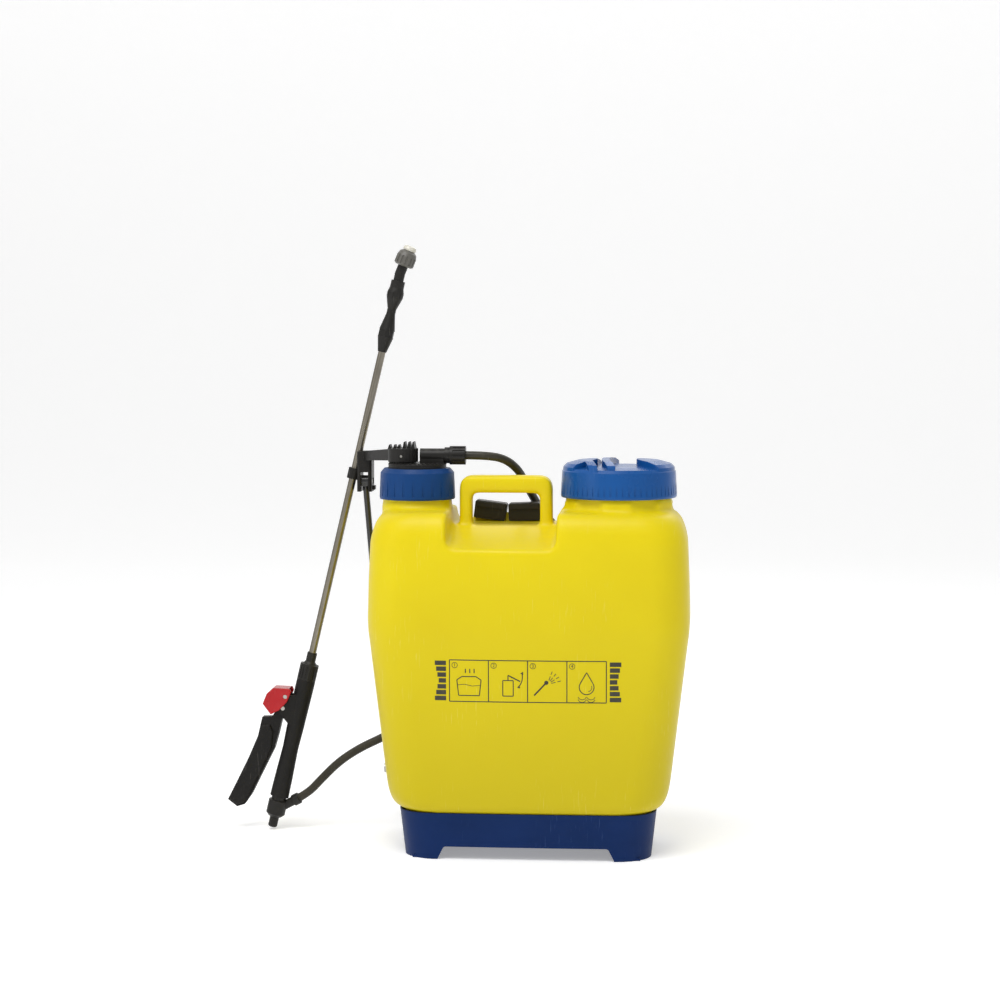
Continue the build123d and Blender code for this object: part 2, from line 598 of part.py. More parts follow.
def make_valve_balls():
    rise = sqrt(BALL_R ** 2 - BALL_SEAT ** 2) + 0.05
    low = CYLINDER_FOOT - FOOT_HEIGHT
    intake = Pos(ROD_X, 0, low + INTAKE_SEAT + rise) * Sphere(BALL_R)
    delivery = Pos(CHAMBER_X, 0, low + DELIVERY_SEAT + rise) * Sphere(BALL_R)
    return Compound(children=[intake, delivery])


def make_piston():
    land = (PISTON_LENGTH - 2 * CUP_LENGTH) / 3
    piston = tube(PISTON_CORE_R, PISTON_Z, PISTON_Z + PISTON_LENGTH, at=(ROD_X, 0))
    for i in range(3):
        z = PISTON_Z + i * (land + CUP_LENGTH)
        piston += tube(CYLINDER_BORE - 0.7, z, z + land, at=(ROD_X, 0))
    return piston


def make_piston_cups():
    land = (PISTON_LENGTH - 2 * CUP_LENGTH) / 3
    cups = []
    for z in (PISTON_Z + land, PISTON_Z + 2 * land + CUP_LENGTH):
        cups.append(tube(CYLINDER_BORE - RUN_FIT, z, z + CUP_LENGTH, bore=PISTON_CORE_R, at=(ROD_X, 0)))
    return Compound(children=cups)


def make_outlet_nut():
    nut = rod_x(NUT_R, OUTLET_END, HOSE_START, 0, OUTLET_Z)
    for turn in range(12):
        groove = block(OUTLET_END + 4, HOSE_START + 1, NUT_R - 1.2, NUT_R + 2, -1.1, 1.1)
        nut -= Pos(0, 0, OUTLET_Z) * Rot(30 * turn, 0, 0) * groove
    return nut - rod_x(HOSE_R, OUTLET_END - 1, HOSE_START + 1, 0, OUTLET_Z)


# ---------------------------------------------------------------- yoke and link
def slab(at, along, half_width, low, high):
    """Rectangle across the arm at one end, as a section for its loft."""
    middle = (at[0], at[1], (low + high) / 2)
    plane = Plane(origin=middle, x_dir=(-along[1], along[0], 0), z_dir=(along[0], along[1], 0))
    return plane * Rectangle(2 * half_width, high - low)


def make_yoke():
    leg_y = LEG_FRONT + LEG_DEPTH / 2
    span = sqrt((LEG_X - ROD_X) ** 2 + leg_y ** 2)
    along = ((LEG_X - ROD_X) / span, leg_y / span)
    yoke = tube(HUB_R, HUB_BOTTOM, HUB_TOP, at=(ROD_X, 0))
    yoke += loft([slab((ROD_X, 0), along, 9.5, HUB_BOTTOM + 1.5, HUB_TOP),
                  slab((LEG_X, leg_y), along, 7.5, LEG_TOP - 11, LEG_TOP)], ruled=True)
    for angle in (-75, -50, -25, 0, 25, 50):
        rib = block(HUB_R - 2, HUB_R + 1.4, -1.0, 1.0, HUB_BOTTOM, HUB_TOP)
        yoke += Pos(ROD_X, 0, 0) * Rot(0, 0, angle) * rib
    for i, x in enumerate((-14.5, -8.5, -3.5, 3.0, 8.5, 13.5)):
        height = 4.6 if i < 3 else 8.0
        length = 8.0 if i < 3 else 10.0
        with BuildSketch(Plane.XZ.offset(-length)) as tooth:
            with BuildLine():
                Polyline((x - 2.3, HUB_TOP - 0.5), (x + 2.3, HUB_TOP - 0.5), (x + 0.5, HUB_TOP + height),
                         (x - 0.5, HUB_TOP + height), close=True)
            make_face()
        yoke += Pos(ROD_X, 0, 0) * extrude(tooth.sketch, 2 * length)
    side = LEG_X + LEG_WIDTH / 2
    leg = block(LEG_X - LEG_WIDTH / 2, side, LEG_FRONT, LEG_FRONT + LEG_DEPTH, LEG_BOTTOM, LEG_TOP)
    leg = softened(leg, 3.0, leg.edges().filter_by(Axis.Z))
    leg += block(side - 1, side + 3, leg_y - 5, leg_y + 5, LEG_BOTTOM + 2, LEG_BOTTOM + 7)
    yoke += leg
    yoke -= block(LEG_X - LEG_SLOT / 2, LEG_X + LEG_SLOT / 2, leg_y - 20, leg_y + 20,
                  LEG_BOTTOM - 5, LINK_TOP_Z + 11)
    with BuildSketch(Plane.YZ.offset(LEG_X - LEG_WIDTH)) as slot:
        with Locations((LINK_TOP_Y + 2.8, LINK_TOP_Z)):
            SlotCenterToCenter(7.2, 2 * (LINK_PIN_R + 0.7))
    yoke -= extrude(slot.sketch, 2 * LEG_WIDTH)
    groove = LANCE_R + 0.5
    yoke -= LANCE * (tube(groove, -40, 60) + block(-30, 0, -groove, groove, -40, 60))
    yoke -= tube(ROD_R, HUB_BOTTOM - 1, HUB_TOP - 2.5, at=(ROD_X, 0))
    yoke -= rod_y(CROSS_PIN_R, -HUB_R - 1, HUB_R + 1, ROD_X, HUB_BOTTOM + CROSS_PIN_UP)
    return yoke


def make_plunger_rod():
    rod = tube(ROD_R, PISTON_Z + PISTON_LENGTH, HUB_TOP - 2.5, at=(ROD_X, 0))
    return rod - rod_y(CROSS_PIN_R, -HUB_R, HUB_R, ROD_X, HUB_BOTTOM + CROSS_PIN_UP)


def link_ends():
    """Upper and lower pivots of the link rod."""
    drop = radians(CRANK_DROP)
    low = Vector(LINK_LOW_X, LEVER_PIVOT_Y + CRANK_R * cos(drop), LEVER_PIVOT_Z - CRANK_R * sin(drop))
    return Vector(LEG_X, LINK_TOP_Y, LINK_TOP_Z), low


def make_link():
    high, low = link_ends()
    run = high - low
    link = Plane(origin=low, z_dir=run) * Cylinder(LINK_ROD_R, run.length, align=UPWARDS)
    half = LINK_EYE / 2
    link += rod_x(9.0, low.X - half, low.X + half, low.Y, low.Z)
    link += rod_x(7.0, high.X - half, high.X + half, high.Y, high.Z)
    link -= rod_x(CRANK_PIN_R + RUN_FIT, low.X - half - 4, low.X + half + 4, low.Y, low.Z)
    link -= rod_x(LINK_PIN_R, high.X - half - 4, high.X + half + 4, high.Y, high.Z)
    return link


def make_link_pin():
    high, low = link_ends()
    return rod_x(LINK_PIN_R, high.X - LEG_WIDTH / 2 + 0.5, high.X + LEG_WIDTH / 2 - 0.5, high.Y, high.Z)


# ---------------------------------------------------------------- lever
def make_lever():
    high, low = link_ends()
    y, z = LEVER_PIVOT_Y, LEVER_PIVOT_Z
    x0, x1 = LEVER_X - HUB_HALF, LEVER_X + HUB_HALF
    lever = rod_x(LEVER_HUB_R, x0, x1, y, z)
    lever += rod_y(LEVER_TUBE_R + 4, y + LEVER_HUB_R + 2, y + 52, LEVER_X, z)
    lever += block(x0, x1, y + 2, y + LEVER_HUB_R + 3, z - 10, z + 10)
    angle = degrees(atan2(low.Z - z, low.Y - y))
    arm = block(x0, x0 + CRANK_THICK, 0, CRANK_R, -8.5, 8.5)
    lever += Pos(0, y, z) * Rot(angle, 0, 0) * arm
    lever += rod_x(10.0, x0, x0 + CRANK_THICK, low.Y, low.Z)
    lever -= rod_y(LEVER_TUBE_R, y + LEVER_SOCKET, y + 60, LEVER_X, z)
    lever -= rod_x(SHAFT_R + RUN_FIT, x0 - 1, x1 + 1, y, z)
    lever -= rod_x(CRANK_PIN_R, x0 - 1, x0 + CRANK_THICK + 1, low.Y, low.Z)
    return lever


def make_crank_pin():
    high, low = link_ends()
    x0 = LEVER_X - HUB_HALF
    pin = rod_x(CRANK_PIN_R, low.X - LINK_EYE / 2 - 2.5, x0 + CRANK_THICK, low.Y, low.Z)
    pin += rod_x(CRANK_PIN_R + 2, low.X - LINK_EYE / 2 - 3.0, low.X - LINK_EYE / 2 - 0.4, low.Y, low.Z)
    return pin


def make_lever_tube():
    start = LEVER_PIVOT_Y + LEVER_SOCKET
    end = LEVER_PIVOT_Y + LEVER_REACH
    outer = rod_y(LEVER_TUBE_R, start, end, LEVER_X, LEVER_PIVOT_Z)
    return outer - rod_y(LEVER_TUBE_R - LEVER_TUBE_WALL, start - 1, end + 1, LEVER_X, LEVER_PIVOT_Z)


def make_lever_grip():
    end = LEVER_PIVOT_Y + LEVER_REACH + 3
    start = end - GRIP_LENGTH
    grip = rod_y(GRIP_R - 1.5, start, end, LEVER_X, LEVER_PIVOT_Z)
    grip = softened(grip, 4.0, grip.edges().group_by(Axis.Y)[-1])
    grip += rod_y(GRIP_R + 2, start, start + 4, LEVER_X, LEVER_PIVOT_Z)
    for i in range(7):
        y = start + 14 + 11 * i
        grip += rod_y(GRIP_R, y, y + 5, LEVER_X, LEVER_PIVOT_Z)
    return grip - rod_y(LEVER_TUBE_R, start - 1, end - 3, LEVER_X, LEVER_PIVOT_Z)


def make_pivot_shaft():
    end = EAR_PLACES[1] + EAR_THICK + 3
    return rod_x(SHAFT_R, LEVER_X - HUB_HALF - 4.5, end, LEVER_PIVOT_Y, LEVER_PIVOT_Z)


def make_shaft_washers():
    left = LEVER_X - HUB_HALF - 0.2
    right = EAR_PLACES[1] + EAR_THICK
    rings = []
    for x0, x1 in ((left - WASHER_THICK, left), (right, right + WASHER_THICK),
                   (LEVER_X + HUB_HALF + 0.2, EAR_PLACES[0])):
        ring = rod_x(WASHER_R, x0, x1, LEVER_PIVOT_Y, LEVER_PIVOT_Z)
        rings.append(ring - rod_x(SHAFT_R, x0 - 1, x1 + 1, LEVER_PIVOT_Y, LEVER_PIVOT_Z))
    return Compound(children=rings)


# ---------------------------------------------------------------- lance, in a frame along the lance
LANCE = Location(LANCE_POINT, (0, LANCE_LEAN, 0))


def on_lance(x, z):
    """World place of a point of the lance's own XZ plane."""
    lean = radians(LANCE_LEAN)
    return Vector(LANCE_POINT[0] + x * cos(lean) + z * sin(lean), LANCE_POINT[1],
                  LANCE_POINT[2] - x * sin(lean) + z * cos(lean))


def plate(points, half_thick):
    """Flat piece from an outline in the lance's XZ plane."""
    with BuildSketch(Plane.XZ.offset(-half_thick)) as side:
        with BuildLine():
            Polyline(*points, close=True)
        make_face()
    return extrude(side.sketch, 2 * half_thick)


def make_lance_tube():
    return LANCE * tube(LANCE_R, LANCE_LOW, LANCE_TOP, bore=LANCE_BORE)


def make_lance_clip():
    lean = radians(LANCE_LEAN)
    clip = tube(LANCE_R + 3.2, -6.5, 6.5)
    reach = (LEG_X - LEG_WIDTH / 2 - LANCE_POINT[0]) / cos(lean)
    clip += block(0, reach + 4, -5.5, 5.5, -6.5, 6.5)
    clip -= block(-12, 0, -2.8, 2.8, -8, 8)
    clip -= tube(LANCE_R, -8, 8)
    clip = LANCE * clip
    leg_room = block(LEG_X - LEG_WIDTH / 2, LEG_X + LEG_WIDTH, LEG_FRONT - 20, LEG_FRONT + LEG_DEPTH + 20,
                     LEG_BOTTOM - 10, LEG_TOP + 10)
    return clip - leg_room


def make_coupling_nut():
    nut = turned([(LANCE_R + 0.8, 151), (9.2, 168), (10.0, 172), (10.0, 176), (7.0, 190), (5.4, 198),
                  (5.4, 204)])
    for turn in range(6):
        nut -= Rot(0, 0, 60 * turn) * block(8.6, 12, -8, 8, 170, 178)
    nut -= tube(LANCE_R, 150, LANCE_TOP)
    return LANCE * (nut - tube(LANCE_BORE, 150, 206))


def make_lance_adaptor():
    adaptor = turned([(5.4, 204), (8.6, 214), (10.0, 219), (10.0, 224), (8.4, 230), (8.4, 238.5)])
    for turn in range(8):
        adaptor -= Rot(0, 0, 45 * turn) * block(9.4, 12, -1.2, 1.2, 216, 227)
    return LANCE * (adaptor - tube(LANCE_BORE, 203, 240))


NOZZLE = Location((0, 0, NOZZLE_AT), (0, NOZZLE_TURN, 0))


def make_nozzle_stem():
    stem = tube(6.2, 238.5, NOZZLE_AT) + NOZZLE * (tube(6.2, -3, 9) + tube(STEM_R, 8, STEM_END))
    return LANCE * (stem - tube(JET_R, 237, NOZZLE_AT) - NOZZLE * tube(JET_R, -1, STEM_END + 1))


def make_nozzle_cap():
    cap = turned([(9.6, 9.4), (12.0, 11), (12.0, 21), (10.4, 26), (7.6, 28.4)])
    for turn in range(14):
        cap -= Rot(0, 0, 360 * turn / 14) * block(11.2, 14, -1.0, 1.0, 12, 22)
    cap -= tube(STEM_R + RUN_FIT, 8, STEM_END + GAP)
    return LANCE * (NOZZLE * (cap - tube(5.4, STEM_END, 29)))


def make_nozzle_tip():
    tip = turned([(5.35, 25.4), (5.35, 28.4), (7.6, 28.9), (8.2, 31.0), (7.2, 33.6), (4.0, 34.8)])
    return LANCE * (NOZZLE * (tip - tube(0.8, STEM_END, 36)))


def make_ferrule_nut():
    nut = turned([(6.0, -225), (6.0, -236), (8.6, HANDLE_COLLAR)])
    nut += tube(HANDLE_R, HANDLE_BODY_TOP, HANDLE_COLLAR)
    for turn in range(16):
        nut -= Rot(0, 0, 22.5 * turn) * block(10.5, 14, -1.0, 1.0, HANDLE_BODY_TOP + 2, HANDLE_COLLAR - 2)
    nut -= tube(LANCE_R, LANCE_LOW, -220)
    return LANCE * (nut - tube(LANCE_BORE, HANDLE_BODY_TOP - 1, -220))


def make_handle_body():
    body = turned([(HANDLE_R, HANDLE_BODY_TOP), (HANDLE_R, -270), (10.4, -322), (9.6, -345), (11.0, -385),
                   (11.4, HANDLE_BODY_END)])
    cheek = [(0, -276), (-12, -281), (-22.5, -282), (-25, -288), (-25.5, -302), (-20, -307), (0, -322)]
    cheeks = plate(cheek, CHEEK_OUT) - block(-40, -10, -CHEEK_IN, CHEEK_IN, -330, -265)
    body += cheeks
    body -= block(-40, -13.5, -CHEEK_IN, CHEEK_IN, -335, -262)
    body -= tube(FLOW_BORE, HANDLE_BODY_END - 1, HANDLE_BODY_TOP + 1)
    body -= rod_x(VALVE_PIN_R + RUN_FIT, -30, 0, 0, VALVE_Z)
    for x, z in (TRIGGER_PIVOT, LOCK_PIVOT):
        body -= rod_y(PIN_R, -20, 20, x, z)
    return LANCE * body


def make_trigger():
    half = CHEEK_IN - GAP
    lever = plate([(-17.6, -306), (-17.6, -330), (-18.5, -350), (-27, -386), (-33, -412), (-38.5, -426),
                   (-47, -431), (-60, -425), (-53, -396), (-46.5, -368), (-41.5, -340), (-41.5, -316),
                   (-30, -313)], half)
    wide = plate([(-24, -330), (-21.5, -350), (-29, -386), (-35, -412), (-40, -424), (-47, -429), (-59, -424),
                  (-52, -396), (-45.5, -368), (-41.0, -340), (-40, -326), (-30, -322)], 9.0)
    lever += softened(wide, 2.5)
    boss = rod_y(6.0, -half, half, *TRIGGER_PIVOT)
    lever += boss + plate([(-24.5, -298), (-14.5, -298), (-17.6, -308), (-17.6, -322), (-32, -318)], half)
    lever -= rod_x(60, -17.4, -10, 0, VALVE_Z) & block(-17.4, -5, -20, 20, -330, -306.5)
    lever -= rod_y(PIN_R + RUN_FIT, -20, 20, *TRIGGER_PIVOT)
    return LANCE * lever


def make_lock():
    shell = plate([(-16, -273), (-13.2, -277), (-15.5, -290), (-22.6, -302), (-31.4, -309.5), (-44.0, -299),
                   (-42.0, -286), (-36, -277)], CHEEK_OUT + 3.0)
    shell = softened(shell, 1.2)
    shell -= plate([(0, -270), (-17, -270), (-17, -276.5), (-26.5, -278), (-36.5, -288), (-39, -299),
                    (-33.5, -304.5), (-25, -320), (0, -320)], CHEEK_OUT + GAP)
    shell -= rod_y(PIN_R + RUN_FIT, -20, 20, *LOCK_PIVOT)
    return LANCE * shell


def make_trigger_pins():
    low = rod_y(PIN_R, -CHEEK_OUT, CHEEK_OUT, *TRIGGER_PIVOT)
    high = rod_y(PIN_R, -CHEEK_OUT - 2.5, CHEEK_OUT + 2.5, *LOCK_PIVOT)
    return LANCE * Compound(children=[low, high])


def make_valve_pin():
    return LANCE * rod_x(VALVE_PIN_R, -17.1, -5.0, 0, VALVE_Z)


def make_handle_filter():
    outside = FLOW_BORE - RUN_FIT
    return LANCE * tube(outside, HANDLE_BODY_END + 15, HANDLE_BODY_END + 65, bore=outside - FILTER_WALL)


def barrel_frame():
    """Plane at the elbow's centre, looking along the hose barrel."""
    rise = radians(BARREL_RISE)
    return Plane(origin=on_lance(0, ELBOW_AT), z_dir=(cos(rise), 0, sin(rise)))


def make_handle_elbow():
    elbow = turned([(9.0, HANDLE_BODY_END), (9.0, -411.5), (11.6, -412.5), (11.6, -429), (8.0, -432.5),
                    (5.6, -433.5), (5.6, -444.5), (4.4, -446)])
    elbow -= tube(FLOW_BORE, ELBOW_AT, HANDLE_BODY_END + 1)
    elbow = LANCE * elbow
    elbow += barrel_frame() * tube(BARREL_R, 4, HOSE_EXIT - 3) + barrel_frame() * tube(HOSE_R, 4, HOSE_EXIT)
    return elbow - barrel_frame() * tube(FLOW_PASSAGE_R, 0, HOSE_EXIT + 1)


def make_lance_hose_nut():
    nut = turned([(6.4, HOSE_EXIT - 3), (7.1, HOSE_EXIT - 2), (7.1, HOSE_EXIT + 5), (6.4, HOSE_EXIT + 6)])
    nut -= tube(HOSE_R, HOSE_EXIT - 5, HOSE_EXIT + 8)
    return barrel_frame() * nut


# ---------------------------------------------------------------- delivery hose
def hose_route():
    """Points of the whole hose, from the pump outlet to the lance's elbow."""
    exit_point = barrel_frame().from_local_coords(Vector(0, 0, HOSE_EXIT))
    next_point = barrel_frame().from_local_coords(Vector(0, 0, HOSE_EXIT + HOSE_LAST_RUN))
    outlet = [(HOSE_START, 0, OUTLET_Z), (HOSE_START + HOSE_STRAIGHT, 0, OUTLET_Z)]
    return outlet + HOSE_POINTS + [tuple(next_point), tuple(exit_point)]


def corner_radii(points):
    """Largest arc that the two runs at each corner allow."""
    radii = []
    for before, here, after in zip(points, points[1:], points[2:]):
        a = Vector(*here) - Vector(*before)
        b = Vector(*after) - Vector(*here)
        turn = radians(a.get_angle(b))
        radii.append(0.45 * min(a.length, b.length) / tan(turn / 2))
    return radii


def hose_piece(points, radii):
    path = FilletPolyline(*points, radius=radii)
    section = Plane(origin=path @ 0, z_dir=path % 0) * Circle(HOSE_R)
    piece = sweep(section, path=path)
    ideal = pi * HOSE_R ** 2 * path.length
    print("hose run", round(path.length, 1), "mm, volume", round(piece.volume, 1), "against", round(ideal, 1))
    return piece


def make_hoses():
    points = hose_route()
    radii = corner_radii(points)
    print("hose radii", [round(r, 1) for r in radii])
    a, b = points[SPLIT_AFTER], points[SPLIT_AFTER + 1]
    middle = tuple((p + q) / 2 for p, q in zip(a, b))
    upper = hose_piece(points[:SPLIT_AFTER + 1] + [middle], radii[:SPLIT_AFTER])
    lower = hose_piece([middle] + points[SPLIT_AFTER + 1:], radii[SPLIT_AFTER:])
    return upper, lower


# ---------------------------------------------------------------- straps
def make_hook(centre_x, tilt):
    """Moulded clip that grips the ridge behind the handle and holds the end of a strap."""
    half = HOOK_HALF
    low = CHANNEL_FLOOR + GAP
    top = CHANNEL_FLOOR + HOOK_HEIGHT
    web = STRAP_WEB_WIDTH / 2
    hook = block(-half, half, HOOK_Y0, HOOK_Y1, low, top)
    hook = softened(hook, 2.5, hook.edges().filter_by(Axis.Y))
    hook += block(-half + 2, half - 2, HOOK_Y0 - 2, HOOK_Y0 + 1, top - 7, top - 1)
    hook -= block(-web, web, HOOK_Y1 - 5, HOOK_Y1 + 1, low + 8, low + 8 + STRAP_WEB)
    hook = Rot(0, tilt, 0) * (Pos(0, 0, -low) * hook)
    hook = Pos(centre_x, 0, low - hook.bounding_box().min.Z) * hook
    grip = RIDGE_THICK / 2 + 0.2
    return hook - block(centre_x - 40, centre_x + 40, RIDGE_Y - grip, RIDGE_Y + grip,
                        low - 5, CHANNEL_FLOOR + RIDGE_HEIGHT + GAP)


def strap_lean(side):
    """Angle from upright of a strap that runs from its top hook to its lower lug."""
    top_x, tilt, sign = HOOKS[side]
    return degrees(atan2(sign * STRAP_LOW_X - top_x, CHANNEL_FLOOR - LUG_BAR_Z))


def place_strap(side, shape):
    """Lean a strap piece from its hook towards its lug and lift it to the channel's level."""
    top_x, tilt, sign = HOOKS[side]
    return Pos(top_x, 0, CHANNEL_FLOOR) * Rot(0, -strap_lean(side), 0) * shape


def strap_scale(side):
    """Straps that lean more are longer, so that both reach their lugs."""
    return 1.0 / cos(radians(strap_lean(side)))


def stretched(side, points):
    """Strap profile in Y and Z, with its heights below the channel lengthened along the lean."""
    return [(TANK_BACK + y, z * strap_scale(side) if z < 0 else z) for y, z in points]


def make_strap(side):
    top = band(stretched(side, TOP_WEB), STRAP_WEB, STRAP_WEB_WIDTH, 0)
    low = band(stretched(side, LOW_WEB), STRAP_WEB, STRAP_WEB_WIDTH, 0)
    return place_strap(side, Compound(children=[top, low]))


def make_pad(side):
    pad = band(stretched(side, PAD_PATH), PAD_THICK, PAD_WIDTH, 0)
    pad = softened(pad, 3.0, pad.edges().filter_by(Axis.X))
    return place_strap(side, pad)


def make_buckle(side):
    y, z = stretched(side, LOW_WEB)[1]
    half = STRAP_WEB_WIDTH / 2
    frame = block(-half - 4, half + 4, y - 3.5, y + 3.5, z - 10, z + 10)
    frame = softened(frame, 1.5, frame.edges().filter_by(Axis.Y))
    frame -= band(stretched(side, LOW_WEB), STRAP_WEB + 0.2, STRAP_WEB_WIDTH + 0.4, 0)
    return place_strap(side, frame)


def make_lower_hooks():
    group = []
    for sign in (-1, 1):
        centre = sign * STRAP_LOW_X
        half = LUG_HALF - LUG_CHEEK - 0.5
        hook = rod_x(LUG_BAR_R + 3, centre - half, centre + half, LUG_BAR_Y, LUG_BAR_Z)
        hook += block(centre - half, centre + half, LUG_BAR_Y - 3, LUG_BAR_Y + 5, LUG_BAR_Z, LUG_BAR_Z + 12.5)
        hook += block(centre - 17, centre + 17, LUG_BAR_Y, LUG_BAR_Y + 8, LUG_BAR_Z + 7, LUG_BAR_Z + 12.5)
        hook -= rod_x(LUG_BAR_R + RUN_FIT, centre - half - 1, centre + half + 1, LUG_BAR_Y, LUG_BAR_Z)
        group.append(hook)
    return Compound(children=group)


# ---------------------------------------------------------------- the whole sprayer
def build():
    keep("tank", make_tank())
    keep("carry_handle", make_carry_handle())
    keep("base", make_base())
    keep("base_screws", make_base_screws())
    keep("pump_cap", make_pump_cap())
    keep("fill_lid", make_fill_lid())
    keep("fill_strainer", make_strainer())
    keep("lid_gasket", make_lid_gasket())
    seat = NECK_TOP + GASKET
    gasket_bore = PUMP_NECK_R - NECK_WALL - 0.5
    keep("pump_gasket", tube(PUMP_NECK_R - 0.5, NECK_TOP, seat, bore=gasket_bore, at=(PUMP_X, 0)))
    keep("pump_head", make_pump_head())
    keep("rod_seal", tube(SEAL_R, seat, seat + SEAL_THICK, bore=ROD_R + RUN_FIT, at=(ROD_X, 0)))
    keep("pump_cylinder", tube(CYLINDER_R, CYLINDER_FOOT, seat, bore=CYLINDER_BORE, at=(ROD_X, 0)))
    chamber_bore = CHAMBER_R - CHAMBER_WALL
    keep("pressure_chamber", tube(CHAMBER_R, CYLINDER_FOOT, seat, bore=chamber_bore, at=(CHAMBER_X, 0)))
    keep("pump_foot", make_pump_foot())
    keep("valve_balls", make_valve_balls())
    keep("outlet_nut", make_outlet_nut())
    keep("pump_yoke", make_yoke())
    keep("yoke_pin", rod_y(CROSS_PIN_R, -HUB_R + 1, HUB_R - 1, ROD_X, HUB_BOTTOM + CROSS_PIN_UP))
    keep("plunger_rod", make_plunger_rod())
    keep("piston", make_piston())
    keep("piston_cups", make_piston_cups())
    keep("link_rod", make_link())
    keep("link_pin", make_link_pin())
    keep("pump_lever", make_lever())
    keep("crank_pin", make_crank_pin())
    keep("lever_tube", make_lever_tube())
    keep("lever_grip", make_lever_grip())
    keep("pivot_shaft", make_pivot_shaft())
    keep("shaft_washers", make_shaft_washers())
    keep("lance_clip", make_lance_clip())
    keep("lance_tube", make_lance_tube())
    keep("coupling_nut", make_coupling_nut())
    keep("lance_adaptor", make_lance_adaptor())
    keep("nozzle_stem", make_nozzle_stem())
    keep("nozzle_cap", make_nozzle_cap())
    keep("nozzle_tip", make_nozzle_tip())
    keep("ferrule_nut", make_ferrule_nut())
    keep("handle_body", make_handle_body())
    keep("trigger", make_trigger())
    keep("trigger_lock", make_lock())
    keep("trigger_pins", make_trigger_pins())
    keep("valve_pin", make_valve_pin())
    keep("handle_filter", make_handle_filter())
    keep("handle_elbow", make_handle_elbow())
    keep("hose_nut_lance", make_lance_hose_nut())
    upper, lower = make_hoses()
    keep("hose_upper", upper)
    keep("hose_lower", lower)
    for side, (x, tilt, sign) in HOOKS.items():
        keep("strap_hook_" + side, make_hook(x, tilt))
        keep("strap_" + side, make_strap(side))
        keep("strap_pad_" + side, make_pad(side))
        keep("strap_buckle_" + side, make_buckle(side))
    keep("strap_lower_hooks", make_lower_hooks())


build()
os.makedirs("parts", exist_ok=True)
for name, shape in NODES.items():
    export_step(shape, "parts/" + name + ".step")
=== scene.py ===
# %% [markdown]
# # A backpack sprayer
# The hard pieces of the sprayer come ready-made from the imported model. This lesson gives them
# their finishes, and makes what a solid modeller draws badly: the soft skin of the blow-moulded
# tank, the hose, the webbing, the padded shoulder straps and the print on the front.

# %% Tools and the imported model
import json
import math

import bmesh
import bpy
from mathutils import Matrix, Vector
from mathutils.bvhtree import BVHTree


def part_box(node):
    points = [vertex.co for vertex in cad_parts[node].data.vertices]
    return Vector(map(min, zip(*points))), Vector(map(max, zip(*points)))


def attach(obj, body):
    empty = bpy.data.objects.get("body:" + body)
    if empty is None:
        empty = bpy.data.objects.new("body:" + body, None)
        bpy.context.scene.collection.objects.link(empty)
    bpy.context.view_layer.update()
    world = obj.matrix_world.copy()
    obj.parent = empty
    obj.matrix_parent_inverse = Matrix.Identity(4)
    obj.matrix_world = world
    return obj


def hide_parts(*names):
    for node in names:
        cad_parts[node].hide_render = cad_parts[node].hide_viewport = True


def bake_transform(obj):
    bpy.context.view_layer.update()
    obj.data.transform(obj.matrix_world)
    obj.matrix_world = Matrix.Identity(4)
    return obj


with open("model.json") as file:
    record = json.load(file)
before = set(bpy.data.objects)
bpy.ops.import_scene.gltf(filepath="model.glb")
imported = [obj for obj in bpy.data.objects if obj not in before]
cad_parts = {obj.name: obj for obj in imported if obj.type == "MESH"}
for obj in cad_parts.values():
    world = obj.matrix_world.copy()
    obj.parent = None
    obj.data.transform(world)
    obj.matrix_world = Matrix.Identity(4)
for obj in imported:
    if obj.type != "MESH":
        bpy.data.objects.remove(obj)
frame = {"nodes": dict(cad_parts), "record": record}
nodes = frame["nodes"]
bpy.context.view_layer.update()
scene = bpy.context.scene
scene.view_settings.view_transform = "Standard"

# %% [markdown]
# ## Camera
# A long lens far away keeps the sides of the tank nearly parallel. The camera stands a little to
# the right of the sprayer, turned back towards it, and looks down by a few degrees.

# %% Camera
CAMERA_PLACE = (0.209, -2.993, 0.6316)
CAMERA_DOWN = math.radians(4.19)
CAMERA_LEFT = math.radians(4.68)
CAMERA_LENS = 92.3

camera_data = bpy.data.cameras.new("camera")
camera_data.lens = CAMERA_LENS
camera = bpy.data.objects.new("camera", camera_data)
camera.location = CAMERA_PLACE
camera.rotation_euler = (math.pi / 2 - CAMERA_DOWN, 0, CAMERA_LEFT)
scene.collection.objects.link(camera)
scene.camera = camera
print("camera", camera.location)

# %% [markdown]
# ## Small helpers
# A bmesh is worked on in memory and then handed to an object. Every finished piece keeps its
# object at the origin, so its place is in its mesh.


# %% Helpers for meshes
MERGE = 1e-6
CURVE_STEPS = 8


def to_object(bm, name, smooth_angle=35):
    """Turn a bmesh into an object with smooth shading and sharp edges past an angle."""
    mesh = bpy.data.meshes.new(name)
    bm.to_mesh(mesh)
    bm.free()
    return place_mesh(mesh, name, smooth_angle)


def place_mesh(mesh, name, smooth_angle=35):
    mesh.polygons.foreach_set("use_smooth", [True] * len(mesh.polygons))
    mesh.set_sharp_from_angle(angle=math.radians(smooth_angle))
    piece = bpy.data.objects.new(name, mesh)
    scene.collection.objects.link(piece)
    return piece


def baked(piece):
    """Mesh of a piece with its modifiers applied; the piece itself is removed."""
    depsgraph = bpy.context.evaluated_depsgraph_get()
    mesh = bpy.data.meshes.new_from_object(piece.evaluated_get(depsgraph))
    old = piece.data
    bpy.data.objects.remove(piece)
    if isinstance(old, bpy.types.Mesh):
        bpy.data.meshes.remove(old)
    return mesh


def taken_bmesh(mesh):
    """Bmesh of a mesh, which is removed."""
    bm = bmesh.new()
    bm.from_mesh(mesh)
    bpy.data.meshes.remove(mesh)
    return bm


